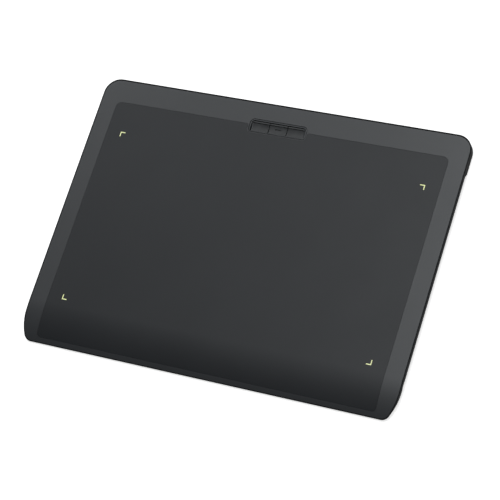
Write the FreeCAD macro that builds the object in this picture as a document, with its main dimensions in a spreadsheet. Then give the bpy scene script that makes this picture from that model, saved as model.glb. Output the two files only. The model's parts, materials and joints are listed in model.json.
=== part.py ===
import FreeCAD, Part

import math
import os

import Sketcher

# A medium pen tablet. Millimetres, +X right, +Y to the rear, +Z up.
# The origin is the middle of the underside, on the plane that the feet rest on.

LEFT = "left"
RIGHT = "right"
THROUGH = 1.0
LEVEL_TOLERANCE = 0.01

SIZES = (
    # The whole tablet
    ("case_width", 321.4, "overall width"),
    ("case_depth", 235.2, "overall depth"),
    ("case_height", 8.0, "height of the flat top above the table"),
    ("foot_proud", 0.4, "how far the feet stand below the case"),
    ("rear_corner", 13.4, "plan radius of the rear corners"),
    ("front_corner_wide", 48.0, "plan radius of the front corners beside the sides"),
    ("front_corner_tight", 7.0, "plan radius of the front corners beside the front edge"),
    ("front_corner_sine", 0.4, "sine of the turn that the wide arc makes before the tight one"),
    ("curve_length", 33.6, "part of the depth that curves down at the front"),
    ("curve_radius", 102.0, "radius of the curved front"),
    # Lower case
    ("slab_thickness", 4.9, "thickness of the slim middle"),
    ("rear_block_depth", 29.1, "flat underside of the deep rear block"),
    ("rear_slope", 3.5, "run of the slope from the rear block to the slab"),
    ("front_block_depth", 25.6, "flat underside of the deep front block"),
    ("front_slope", 6.0, "run of the slope from the front block to the slab"),
    ("lower_round", 0.6, "radius of the lower outer edge"),
    ("case_wall", 2.2, "outer wall of the lower case"),
    ("floor_wall", 1.0, "floor of the lower case"),
    ("front_wall", 7.6, "solid nose in front of the inside"),
    ("bay_wall", 1.0, "stand-off of the deep bays from their slopes"),
    ("inner_front_corner", 15.8, "plan radius of the inside's front corners"),
    ("front_bay_corner", 7.9, "plan radius of the front bay's front corners"),
    ("lip_wall", 0.55, "rim of the lower case beside the top cover"),
    ("lip_gap", 0.12, "parting gap beside the top cover"),
    ("lip_drop", 0.1, "how far the rim stays below the top cover"),
    ("rib_width", 1.2, "thickness of the support ribs"),
    ("rib_count", 9, "ribs that run from front to rear"),
    ("cross_rib_count", 3, "ribs that run from side to side"),
    # Case screws
    ("case_screw_radius", 1.0, "shank of a case screw"),
    ("case_screw_head_radius", 1.9, "head of a case screw"),
    ("case_screw_head_height", 1.1, "height of the head of a case screw"),
    ("case_screw_length", 4.4, "shank length of a case screw"),
    ("case_screw_sink", 0.2, "how far a head lies above the underside"),
    ("screw_clearance", 0.2, "radial clearance of the screw in the lower case"),
    ("thread_clearance", 0.02, "radial clearance in a screwed boss"),
    ("screw_inner_share", 0.343, "inner screws' place, as a share of the outer ones'"),
    ("screw_side_margin", 9.2, "outer screws from the side"),
    ("screw_rear_margin", 7.0, "rear screws from the rear edge"),
    ("screw_front_margin", 19.0, "front screws from the front edge"),
    ("post_radius", 3.0, "screw post of the lower case"),
    ("post_height", 2.6, "height of a screw post above the underside"),
    ("boss_radius", 2.2, "screw boss of the top cover"),
    ("boss_root", 0.4, "how far a boss reaches into the cover's wall"),
    ("pilot_room", 0.1, "room past the tip of a case screw"),
    ("case_drive_radius", 0.8, "drive recess of a case screw"),
    ("case_drive_depth", 0.55, "depth of the drive recess of a case screw"),
    # Feet and label
    ("foot_length", 60.0, "length of a rubber foot"),
    ("foot_width", 8.0, "width of a rubber foot"),
    ("foot_thickness", 0.8, "thickness of a rubber foot"),
    ("foot_gap", 0.25, "gap round a foot in its recess"),
    ("foot_corner", 3.0, "plan radius of a foot's corners"),
    ("foot_side_margin", 58.7, "middle of a foot from the side"),
    ("rear_foot_margin", 14.5, "rear feet from the rear edge"),
    ("front_foot_margin", 16.5, "front feet from the front edge"),
    ("label_length", 66.0, "length of the bare rating label"),
    ("label_width", 24.0, "width of the bare rating label"),
    ("label_thickness", 0.2, "thickness of the rating label"),
    ("label_recess", 0.3, "depth of the label's recess"),
    # Top cover and drawing sheet
    ("cover_wall", 1.5, "thickness of the top cover"),
    ("sheet_side_margin", 15.25, "drawing sheet from the sides"),
    ("sheet_rear_margin", 20.5, "drawing sheet from the rear edge"),
    ("sheet_front_margin", 4.6, "drawing sheet from the front edge"),
    ("sheet_rear_corner", 5.0, "plan radius of the sheet's rear corners"),
    ("sheet_front_corner", 3.0, "plan radius of the sheet's front corners"),
    ("sheet_thickness", 0.5, "thickness of the drawing sheet"),
    ("adhesive_thickness", 0.1, "thickness of the film under the sheet"),
    ("sheet_gap", 0.1, "gap round the sheet in its recess"),
    ("adhesive_inset", 1.5, "film from the edge of the sheet"),
    # Lit corner marks
    ("mark_side_margin", 12.45, "marks from the sides of the sheet"),
    ("mark_rear_margin", 26.0, "marks from the rear edge of the sheet"),
    ("mark_front_margin", 33.5, "marks from the front edge of the sheet"),
    ("mark_leg", 4.2, "length of a mark's leg"),
    ("mark_stroke", 0.75, "width of a mark's leg"),
    ("guide_gap", 0.05, "gap round a light guide"),
    ("guide_drop", 0.02, "how far a light guide stays below the sheet"),
    ("led_length", 1.0, "length of a corner light"),
    ("led_width", 0.6, "width of a corner light"),
    ("led_height", 0.4, "height of a corner light"),
    # Button unit
    ("well_width", 50.0, "width of the opening for the buttons"),
    ("well_depth", 11.8, "depth of the opening for the buttons"),
    ("well_rear_margin", 15.2, "opening from the rear edge"),
    ("well_rear_corner", 3.9, "plan radius of the opening's rear corners"),
    ("well_front_corner", 2.3, "plan radius of the opening's front corners"),
    ("well_strip", 0.6, "strip of cover between the opening and the sheet"),
    ("frame_gap", 0.15, "gap round the button frame"),
    ("frame_rim", 1.2, "rim of the frame at its rear and sides"),
    ("frame_front_rim", 0.7, "rim of the frame at its front"),
    ("frame_drop", 0.1, "how far the frame stays below the top"),
    ("frame_flange", 0.8, "thickness of the frame's flange"),
    ("frame_overhang", 1.2, "reach of the frame's flange under the cover"),
    ("key_gap", 0.2, "gap round the buttons"),
    ("key_split", 0.5, "gap between two buttons"),
    ("key_drop", 0.6, "rear ridge of a button below the top"),
    ("key_ridge", 1.45, "depth of a button's rear ridge"),
    ("key_step", 0.3, "step from the ridge to the finger scoop"),
    ("key_front_drop", 1.25, "front edge of a button below the top"),
    ("key_scoop_radius", 18.4, "radius of the finger scoop"),
    ("key_flange", 0.6, "thickness of a button's retaining flange"),
    ("key_overlap", 0.6, "reach of the flange under the frame"),
    ("key_travel", 0.4, "travel of a button"),
    ("dash_length", 4.8, "length of the touch mark on the middle button"),
    ("dash_width", 1.2, "width of the touch mark"),
    ("dash_depth", 0.3, "depth of the touch mark"),
    ("dash_corner", 0.54, "corner radius of the touch mark"),
    ("plunger_radius", 1.5, "plunger under a button"),
    # Button switches
    ("tact_size", 4.5, "side of a push switch"),
    ("tact_height", 1.2, "height of a push switch's housing"),
    ("stem_radius", 1.1, "stem of a push switch"),
    ("stem_proud", 0.5, "stem above its housing"),
    ("stem_gap", 0.05, "radial gap round a stem"),
    ("stem_floor", 0.1, "room under a stem at the end of its travel"),
    ("stem_reach", 0.5, "length of a stem inside its housing"),
    # Main board
    ("board_thickness", 1.0, "thickness of the main board"),
    ("board_lift", 0.4, "main board above the bay's floor"),
    ("board_left_reach", 34.0, "main board to the left of the middle"),
    ("board_side_margin", 42.7, "main board from the right side"),
    ("board_front_gap", 1.2, "main board from the front of its bay"),
    ("board_rear_gap", 1.2, "main board from the rear wall"),
    ("board_screw_radius", 0.8, "shank of a board screw"),
    ("board_screw_length", 1.9, "shank length of a board screw"),
    ("board_screw_head_radius", 1.6, "head of a board screw"),
    ("board_screw_head_height", 0.7, "height of the head of a board screw"),
    ("board_screw_margin", 3.0, "board screws from the board's edges"),
    ("board_drive_radius", 0.65, "drive recess of a board screw"),
    ("board_drive_depth", 0.35, "depth of the drive recess of a board screw"),
    ("board_post_radius", 2.0, "post under the main board"),
    ("post_gap", 0.3, "gap of the board round a case screw's post"),
    # Parts on the main board
    ("controller_size", 8.0, "side of the controller chip"),
    ("controller_height", 1.0, "height of the controller chip"),
    ("controller_side_margin", 48.0, "controller chip from the board's right edge"),
    ("controller_margin", 12.0, "controller chip from the board's front edge"),
    ("can_width", 22.0, "width of the shield can"),
    ("can_depth", 16.0, "depth of the shield can"),
    ("can_height", 2.0, "height of the shield can"),
    ("can_wall", 0.2, "sheet of the shield can"),
    ("can_margin", 17.0, "shield can from the board's right edge"),
    ("radio_size", 5.0, "side of the radio chip"),
    ("radio_height", 0.8, "height of the radio chip"),
    ("antenna_width", 2.0, "width of the chip antenna"),
    ("antenna_length", 7.0, "length of the chip antenna"),
    ("antenna_height", 1.0, "height of the chip antenna"),
    ("antenna_margin", 1.5, "chip antenna from the board's right edge"),
    # Charging port
    ("port_width", 8.94, "outer width of the port's shell"),
    ("port_height", 3.26, "outer height of the port's shell"),
    ("port_corner", 1.4, "corner radius of the port's shell"),
    ("port_length", 7.3, "length of the port's shell"),
    ("port_wall", 0.3, "sheet of the port's shell"),
    ("port_sink", 0.4, "mouth of the port behind the rear face"),
    ("port_gap", 0.22, "gap round the port in the rear wall"),
    ("port_core", 2.0, "length of the moulded core behind the tongue"),
    ("tongue_width", 6.6, "width of the port's tongue"),
    ("tongue_height", 0.7, "height of the port's tongue"),
    ("tongue_sink", 0.6, "tip of the tongue behind the mouth"),
    ("core_gap", 0.05, "gap of the core in the shell"),
    # Power switch
    ("switch_margin", 43.0, "power switch from the board's right edge"),
    ("switch_width", 9.0, "width of the slide switch"),
    ("switch_depth", 4.0, "depth of the slide switch"),
    ("switch_height", 2.4, "height of the slide switch"),
    ("switch_travel", 2.5, "travel of the power switch"),
    ("lever_width", 1.4, "width of the switch's lever"),
    ("lever_height", 1.2, "height of the switch's lever"),
    ("lever_reach", 2.6, "length of the lever inside the switch"),
    ("lever_gap", 0.1, "gap round the lever"),
    ("lever_tip_wall", 0.2, "knob's plate left behind the tip of the lever"),
    ("knob_width", 4.6, "width of the outer knob"),
    ("knob_height", 2.0, "height of the outer knob"),
    ("knob_sink", 0.25, "knob behind the rear face"),
    ("knob_gap", 0.2, "gap round the knob in its slot"),
    ("knob_plate", 0.8, "thickness of the plate behind the wall"),
    ("knob_plate_gap", 0.2, "gap from the plate to the wall"),
    ("knob_plate_reach", 0.7, "reach of the plate past the slot"),
    ("scoop_depth", 0.9, "depth of the finger recess of the switch"),
    ("scoop_margin", 1.6, "finger recess past the slot, each way sideways"),
    ("scoop_rise", 0.5, "finger recess past the slot, up and down"),
    # Drawing sensor
    ("sensor_side_lap", 5.0, "sensor board past the marks, each side"),
    ("sensor_front_lap", 3.0, "sensor board past the front marks"),
    ("sensor_rear_lap", 6.9, "sensor board past the rear marks"),
    ("sensor_thickness", 0.8, "thickness of the sensor board"),
    ("shield_thickness", 0.2, "thickness of the shield sheet"),
    ("shield_inset", 1.0, "shield sheet from the edge of the board"),
    ("shield_rear_inset", 5.0, "shield sheet from the board's rear edge"),
    ("ribbon_margin", 48.0, "flat ribbon from the board's right edge"),
    ("ribbon_width", 20.0, "width of the flat ribbon"),
    ("ribbon_thickness", 0.15, "thickness of the flat ribbon"),
    ("socket_extra", 2.0, "ribbon sockets wider than the ribbon"),
    ("socket_depth", 3.6, "depth of a ribbon socket"),
    ("socket_height", 1.0, "height of a ribbon socket"),
    ("socket_margin", 1.3, "lower ribbon socket from the board's edge"),
    ("ribbon_lift", 0.4, "ribbon above the foot of a socket"),
    # Battery
    ("battery_side_margin", 16.7, "battery from the left side"),
    ("battery_screw_gap", 10.0, "battery from the inner left screw"),
    ("battery_depth", 23.0, "depth of the battery"),
    ("battery_height", 3.6, "height of the battery"),
    ("battery_corner", 1.5, "plan radius of the battery's corners"),
    ("battery_front_gap", 1.5, "battery from the front of its bay"),
    ("tape_thickness", 0.2, "tape under the battery"),
    ("tape_inset", 3.0, "tape from the battery's edge"),
    ("guard_width", 3.5, "width of the battery's protection board"),
    ("guard_inset", 1.5, "protection board from the battery's sides"),
    ("guard_thickness", 0.8, "thickness of the protection board"),
    ("lead_radius", 0.5, "battery lead"),
    ("lead_pitch", 1.5, "spacing of the two leads"),
    ("lead_rise", 1.9, "leads above the bay's floor"),
    ("plug_width", 5.0, "width of the battery plug"),
    ("plug_length", 4.6, "length of the battery plug"),
    ("plug_height", 2.0, "height of the battery plug"),
    ("socket_length", 5.0, "length of the battery socket"),
    ("plug_margin", 14.5, "battery plug from the board's front edge"),
)

doc = FreeCAD.newDocument("pen_tablet")
sheet = doc.addObject("Spreadsheet::Sheet", "sizes")


class Size:
    """A length that is known as a number and as the sheet's expression for it."""

    def __init__(self, value, text):
        self.value = value
        self.text = text

    def __add__(self, other):
        other = as_size(other)
        return Size(self.value + other.value, f"({self.text} + {other.text})")

    def __sub__(self, other):
        other = as_size(other)
        return Size(self.value - other.value, f"({self.text} - {other.text})")

    def __mul__(self, other):
        other = as_size(other)
        return Size(self.value * other.value, f"({self.text} * {other.text})")

    def __truediv__(self, other):
        other = as_size(other)
        return Size(self.value / other.value, f"({self.text} / {other.text})")

    def __neg__(self):
        return self * -1

    def root(self):
        """The square root of this size."""
        return Size(math.sqrt(self.value), f"sqrt({self.text})")


def as_size(number):
    """Take a plain number as a size."""
    if isinstance(number, Size):
        return number
    return Size(float(number), f"({number})")


def fill_sheet():
    """Put each driving dimension in a cell of the sheet, under its own alias."""
    for row, (alias, value, meaning) in enumerate(SIZES, start=1):
        sheet.set(f"A{row}", str(value))
        sheet.setAlias(f"A{row}", alias)
        sheet.set(f"B{row}", meaning)
    doc.recompute()


VALUES = {name: value for name, value, _ in SIZES}


def size(alias):
    """The size that the sheet holds under an alias."""
    return Size(VALUES[alias], f"sizes.{alias}")


def bind(thing, name, length):
    """Set a property and tie it to the sheet."""
    setattr(thing, name, length.value)
    thing.setExpression(name, length.text)


def place(thing, x, y, z):
    """Put an object at a point that is tied to the sheet."""
    spot = (as_size(x), as_size(y), as_size(z))
    point = FreeCAD.Vector(*(each.value for each in spot))
    thing.Placement = FreeCAD.Placement(point, thing.Placement.Rotation)
    for axis, each in zip("xyz", spot):
        thing.setExpression(f"Placement.Base.{axis}", each.text)


# Sketches

def tie_point(sketch, edge, end, x, y):
    """Hold one end of an edge at a point that is tied to the sheet."""
    for kind, length in (("DistanceX", x), ("DistanceY", y)):
        rule = Sketcher.Constraint(kind, -1, 1, edge, end, length.value)
        index = sketch.addConstraint(rule)
        sketch.setExpression(f"Constraints[{index}]", length.text)


def draw_arc(sketch, here, there, radius, turn):
    """Draw a short arc that leaves here and turns left or right to there."""
    chord = there - here
    reach = math.sqrt(radius.value ** 2 - chord.Length ** 2 / 4)
    sideways = FreeCAD.Vector(-chord.y, chord.x, 0) / chord.Length
    if turn == RIGHT:
        sideways = sideways * -1
    centre = (here + there) / 2 + sideways * reach
    first, last = (here, there) if turn == LEFT else (there, here)
    start = math.atan2(first.y - centre.y, first.x - centre.x)
    stop = math.atan2(last.y - centre.y, last.x - centre.x)
    circle = Part.Circle(centre, FreeCAD.Vector(0, 0, 1), radius.value)
    edge = sketch.addGeometry(Part.ArcOfCircle(circle, start, stop))
    index = sketch.addConstraint(Sketcher.Constraint("Radius", edge, radius.value))
    sketch.setExpression(f"Constraints[{index}]", radius.text)
    return (edge, 1, 2) if turn == LEFT else (edge, 2, 1)


def draw_path(sketch, stations):
    """Draw a closed outline. A station (x, y) starts a line, (x, y, radius, turn) an arc."""
    stations = [(as_size(each[0]), as_size(each[1])) + tuple(each[2:]) for each in stations]
    edges = []
    for station, following in zip(stations, stations[1:] + stations[:1]):
        here = FreeCAD.Vector(station[0].value, station[1].value, 0)
        there = FreeCAD.Vector(following[0].value, following[1].value, 0)
        if len(station) == 2:
            edges.append((sketch.addGeometry(Part.LineSegment(here, there)), 1, 2))
        else:
            edges.append(draw_arc(sketch, here, there, station[2], station[3]))
    for station, one, other in zip(stations, edges, edges[1:] + edges[:1]):
        joint = Sketcher.Constraint("Coincident", one[0], one[2], other[0], other[1])
        sketch.addConstraint(joint)
        tie_point(sketch, one[0], one[1], station[0], station[1])


def rounded(left, right, front, rear, front_radius, rear_radius):
    """A rectangle with one radius at its two front corners and one at its rear ones."""
    near, far = front_radius, rear_radius
    return (
        (left + near, front),
        (right - near, front, near, LEFT),
        (right, front + near),
        (right, rear - far, far, LEFT),
        (right - far, rear),
        (left + far, rear, far, LEFT),
        (left, rear - far),
        (left, front + near, near, LEFT),
    )


def rectangle(left, right, front, rear):
    """A plain rectangle."""
    return ((left, front), (right, front), (right, rear), (left, rear))


# Solids

def new_sketch(body, role, offset):
    """A sketch on one of the body's own origin planes, moved along the plane's normal."""
    plane = [each for each in body.Origin.OriginFeatures if each.Role == role][0]
    sketch = body.newObject("Sketcher::SketchObject", body.Name + "_sketch")
    sketch.AttachmentSupport = [(plane, "")]
    sketch.MapMode = "FlatFace"
    lift = FreeCAD.Vector(0, 0, offset.value)
    sketch.AttachmentOffset = FreeCAD.Placement(lift, FreeCAD.Rotation())
    sketch.setExpression("AttachmentOffset.Base.z", offset.text)
    return sketch


def pad(body, sketch, length, side="One side"):
    """Pad a sketch by a length."""
    feature = body.newObject("PartDesign::Pad", body.Name + "_pad")
    feature.Profile = sketch
    feature.SideType = side
    bind(feature, "Length", length)
    sketch.Visibility = False
    return feature


def prism(name, outline, low, high):
    """A body that fills a plan outline from one height to another."""
    body = doc.addObject("PartDesign::Body", name)
    sketch = new_sketch(body, "XY_Plane", low)
    draw_path(sketch, outline)
    pad(body, sketch, high - low)
    return body


def side_solid(name, profile, width, middle=Size(0.0, "0")):
    """A body that carries a side profile, in Y and Z, across a width in X."""
    body = doc.addObject("PartDesign::Body", name)
    sketch = new_sketch(body, "YZ_Plane", middle)
    draw_path(sketch, profile)
    pad(body, sketch, width, "Symmetric")
    return body


def rear_prism(name, outline, low, high):
    """A body that fills an outline in X and Z from one depth in Y to another."""
    body = doc.addObject("PartDesign::Body", name)
    sketch = new_sketch(body, "XZ_Plane", -high)
    draw_path(sketch, outline)
    pad(body, sketch, high - low)
    return body


def box(name, low, high):
    """A box from its low corner to its high corner."""
    solid = doc.addObject("Part::Box", name)
    low = [as_size(each) for each in low]
    high = [as_size(each) for each in high]
    bind(solid, "Length", high[0] - low[0])
    bind(solid, "Width", high[1] - low[1])
    bind(solid, "Height", high[2] - low[2])
    place(solid, *low)
    return solid


def rod(name, x, y, low, high, radius):
    """An upright cylinder."""
    solid = doc.addObject("Part::Cylinder", name)
    bind(solid, "Radius", radius)
    bind(solid, "Height", high - low)
    place(solid, x, y, low)
    return solid


def united(name, solids):
    """Several overlapping solids as one, for use in a boolean."""
    if len(solids) == 1:
        return solids[0]
    result = doc.addObject("Part::MultiFuse", name)
    result.Shapes = list(solids)
    result.Refine = False
    return result


def cut(name, base, *tools):
    """Take tools out of a solid."""
    result = doc.addObject("Part::Cut", name)
    result.Base = base
    result.Tool = united(name + "_tools", tools)
    return result


def fuse(name, base, *tools):
    """Join tools to a solid."""
    return united(name, (base,) + tools)


def common(name, base, tool):
    """Keep what two solids share."""
    result = doc.addObject("Part::Common", name)
    result.Base = base
    result.Tool = tool
    return result


def group(name, solids):
    """Several separate solids that share one node."""
    result = doc.addObject("Part::Compound", name)
    result.Links = solids
    return result


PARTS = []


def publish(label, solid):
    """Give a finished sub-part its own label and keep it for writing."""
    solid.Label = label
    PARTS.append(solid)
    return solid


fill_sheet()

half_width = size("case_width") / 2
rear = size("case_depth") / 2
front = -rear
top = size("case_height")
base = size("foot_proud")
slab_bottom = top - size("slab_thickness")
curve_start = front + size("curve_length")
zero = as_size(0)

cover_under = top - size("cover_wall")
slab_floor = slab_bottom + size("floor_wall")
bay_floor = base + size("floor_wall")
inner_rear = rear - size("case_wall")
rear_foot_line = rear - size("rear_block_depth")
rear_bay_front = rear_foot_line + size("bay_wall")
front_foot_line = front + size("front_block_depth")
cover_inset = size("lip_wall") + size("lip_gap")
screw_outer_x = half_width - size("screw_side_margin")
screw_inner_x = screw_outer_x * size("screw_inner_share")
sheet_side = half_width - size("sheet_side_margin")
sheet_front = front + size("sheet_front_margin")
sheet_rear = rear - size("sheet_rear_margin")
mark_side = sheet_side - size("mark_side_margin")
mark_front = sheet_front + size("mark_front_margin")
mark_rear = sheet_rear - size("mark_rear_margin")
sheet_recess = size("sheet_thickness") + size("adhesive_thickness")


def curve_height(y, depth):
    """Height of the curved front at y, at a depth below the skin."""
    radius = size("curve_radius") - depth
    run = curve_start - y
    return top - size("curve_radius") + (radius * radius - run * run).root()


def skin_band(upper, lower, front_end, rear_end):
    """Side profile of a layer between two depths below the tablet's skin."""
    return (
        (rear_end, top - lower),
        (rear_end, top - upper),
        (curve_start, top - upper, size("curve_radius") - upper, LEFT),
        (front_end, curve_height(front_end, upper)),
        (front_end, curve_height(front_end, lower), size("curve_radius") - lower, RIGHT),
        (curve_start, top - lower),
    )


def case_plan(inset):
    """The tablet's outline, drawn in by an inset. A front corner is a wide arc, then a tight one."""
    side = half_width - inset
    far = size("rear_corner") - inset
    wide = size("front_corner_wide") - inset
    tight = size("front_corner_tight") - inset
    sine = size("front_corner_sine")
    cosine = (as_size(1) - sine * sine).root()
    spread = size("front_corner_wide") - size("front_corner_tight")
    tight_x = half_width - size("front_corner_wide") + spread * cosine
    tight_y = front + size("front_corner_tight")
    wide_y = tight_y + spread * sine
    meet_x = tight_x + tight * cosine
    meet_y = tight_y - tight * sine
    return (
        (-tight_x, front + inset),
        (tight_x, front + inset, tight, LEFT),
        (meet_x, meet_y, wide, LEFT),
        (side, wide_y),
        (side, rear - inset - far, far, LEFT),
        (side - far, rear - inset),
        (far - side, rear - inset, far, LEFT),
        (-side, rear - inset - far),
        (-side, wide_y, wide, LEFT),
        (-meet_x, meet_y, tight, LEFT),
    )


def sheet_plan(inset):
    """The drawing sheet's outline, drawn in by an inset."""
    side = sheet_side - inset
    near = sheet_front + inset
    far = sheet_rear - inset
    front_radius = size("sheet_front_corner") - inset
    rear_radius = size("sheet_rear_corner") - inset
    return rounded(-side, side, near, far, front_radius, rear_radius)


def well_plan(inset, front_inset=None):
    """The button opening's outline, drawn in by an inset."""
    inset = as_size(inset)
    front_inset = inset if front_inset is None else front_inset
    side = size("well_width") / 2 - inset
    far = rear - size("well_rear_margin")
    near = far - size("well_depth") + front_inset
    front_radius = size("well_front_corner") - inset
    rear_radius = size("well_rear_corner") - inset
    return rounded(-side, side, near, far - inset, front_radius, rear_radius)


def layer(name, outline, upper, lower):
    """A layer with a plan outline that follows the tablet's skin."""
    outline_body = prism(name + "_plan", outline, base - THROUGH, top + THROUGH * 2)
    profile = skin_band(upper, lower, front - THROUGH, rear + THROUGH)
    band = side_solid(name + "_band", profile, size("case_width") + THROUGH)
    return common(name, outline_body, band)


def mark_outlines(gap):
    """The four L marks, as (name, outline, light position), each widened by a gap."""
    outlines = []
    stroke = size("mark_stroke")
    leg = size("mark_leg")
    for far, y, y_side in (("front", mark_front, -1), ("rear", mark_rear, 1)):
        for hand, x_side in (("left", -1), ("right", 1)):
            x = mark_side * x_side
            across = [gap, -stroke - gap, -leg - gap]
            xs = [x + each * x_side for each in across]
            ys = [y + each * y_side for each in across]
            outline = (
                (xs[0], ys[0]), (xs[2], ys[0]), (xs[2], ys[1]),
                (xs[1], ys[1]), (xs[1], ys[2]), (xs[0], ys[2]),
            )
            light = (x - stroke / 2 * x_side, y - leg / 2 * y_side)
            outlines.append((f"{far}_{hand}", outline, light))
    return outlines


def mark_tools(name, gap):
    """Prisms that open the four L marks right through the top."""
    low = cover_under - THROUGH
    high = top + THROUGH
    return [prism(f"{name}_{corner}", outline, low, high) for corner, outline, _ in mark_outlines(gap)]


def screw_places():
    """Centres of the case screws, as (x, y, is at the rear)."""
    rear_row = rear - size("screw_rear_margin")
    front_row = front + size("screw_front_margin")
    columns = (-screw_outer_x, -screw_inner_x, screw_inner_x, screw_outer_x)
    return [(x, rear_row, True) for x in columns] + [(x, front_row, False) for x in columns]


def foot_places():
    """Centres of the rubber feet."""
    rear_row = rear - size("rear_foot_margin")
    front_row = front + size("front_foot_margin")
    rows = (("front", front_row), ("rear", rear_row))
    side = half_width - size("foot_side_margin")
    hands = (("left", -side), ("right", side))
    return [(f"{far}_{hand}", x, y) for far, y in rows for hand, x in hands]


def foot_outline(x, y, gap):
    """A rubber foot's outline, widened by a gap."""
    along = size("foot_length") / 2 + gap
    across = size("foot_width") / 2 + gap
    corner = size("foot_corner") + gap
    return rounded(x - along, x + along, y - across, y + across, corner, corner)


board_low = bay_floor + size("board_lift")
board_high = board_low + size("board_thickness")
board_front = rear_bay_front + size("board_front_gap")
board_rear = inner_rear - size("board_rear_gap")
port_middle = board_high + size("port_height") / 2
knob_middle = board_high + size("switch_height") / 2
well_middle_y = rear - size("well_rear_margin") - size("well_depth") / 2
frame_low = cover_under - size("frame_flange")
board_left = -size("board_left_reach")
board_right = half_width - size("board_side_margin")
can_x = board_right - size("can_margin")
ribbon_x = board_right - size("ribbon_margin")
switch_x = board_right - size("switch_margin")
sensor_side = mark_side + size("sensor_side_lap")
sensor_front = mark_front - size("sensor_front_lap")
sensor_rear = mark_rear + size("sensor_rear_lap")
sensor_low = cover_under - size("sensor_thickness")
shield_low = sensor_low - size("shield_thickness")
switch_rest_x = switch_x - size("switch_travel") / 2


# Lower case

def case_profile():
    """Side profile of the lower case: flat top, curved front, slim middle, two deep blocks."""
    drop = size("lip_drop")
    far = rear + THROUGH
    near = front - THROUGH
    return (
        (far, base),
        (far, top - drop),
        (curve_start, top - drop, size("curve_radius") - drop, LEFT),
        (near, curve_height(near, drop)),
        (near, base),
        (front_foot_line, base),
        (front_foot_line + size("front_slope"), slab_bottom),
        (rear_foot_line - size("rear_slope"), slab_bottom),
        (rear_foot_line, base),
    )


def case_blank():
    """The lower case before it is hollowed."""
    plan = prism("case_plan_body", case_plan(zero), base, top)
    doc.recompute()
    blank = plan.Tip
    rounding = plan.newObject("PartDesign::Fillet", "case_lower_round")
    edges = []
    for number, edge in enumerate(plan.Shape.Edges, start=1):
        if edge.BoundBox.ZMax < base.value + LEVEL_TOLERANCE:
            edges.append(f"Edge{number}")
    rounding.Base = (blank, edges)
    bind(rounding, "Radius", size("lower_round"))
    profile = side_solid("case_profile_body", case_profile(), size("case_width") + THROUGH)
    return common("case_blank", plan, profile)


def case_hollows():
    """The inside of the lower case: a shallow floor and two deeper bays."""
    side = half_width - size("case_wall")
    inner_front = front + size("front_wall")
    near = size("inner_front_corner")
    far = size("rear_corner") - size("case_wall")
    shallow = rounded(-side, side, inner_front, inner_rear, near, far)
    hollows = [prism("case_hollow", shallow, slab_floor, top + THROUGH)]
    corner = size("foot_corner")
    rear_bay = rounded(-side, side, rear_bay_front, inner_rear, corner, far)
    hollows.append(prism("rear_bay", rear_bay, bay_floor, slab_floor + THROUGH / 2))
    front_bay_rear = front_foot_line - size("bay_wall")
    front_bay = rounded(-side, side, inner_front, front_bay_rear, size("front_bay_corner"), corner)
    hollows.append(prism("front_bay", front_bay, bay_floor, slab_floor + THROUGH / 2))
    return hollows


def case_ribs():
    """The grid of ribs that carries the sensor board."""
    body = doc.addObject("PartDesign::Body", "rib_body")
    half_rib = size("rib_width") / 2
    start = size("shield_inset") + half_rib - sensor_side
    near = sensor_front + size("shield_inset")
    far = sensor_rear - size("shield_rear_inset") - size("shield_inset")
    sketch = new_sketch(body, "XY_Plane", slab_floor)
    draw_path(sketch, rectangle(start - half_rib, start + half_rib, near, far))
    first = pad(body, sketch, shield_low - slab_floor)
    pattern = body.newObject("PartDesign::LinearPattern", "rib_pattern")
    pattern.Originals = [first]
    axis = [each for each in body.Origin.OriginFeatures if each.Role == "X_Axis"][0]
    pattern.Direction = (axis, [""])
    bind(pattern, "Length", start * -2)
    pattern.Occurrences = int(size("rib_count").value)
    pattern.setExpression("Occurrences", size("rib_count").text)
    body.Tip = pattern
    ribs = [body]
    count = int(size("cross_rib_count").value)
    spacing = (far - near) / (count + 1)
    for number in range(count):
        row = near + spacing * (number + 1)
        low = (start, row - half_rib, slab_floor)
        high = (-start, row + half_rib, shield_low)
        ribs.append(box(f"cross_rib_{number}", low, high))
    return ribs


def board_screw_places():
    """Centres of the four screws that hold the main board."""
    margin = size("board_screw_margin")
    columns = (board_left + margin, board_right - margin)
    rows = (board_front + margin, board_rear - margin)
    return [(x, y) for x in columns for y in rows]


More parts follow.
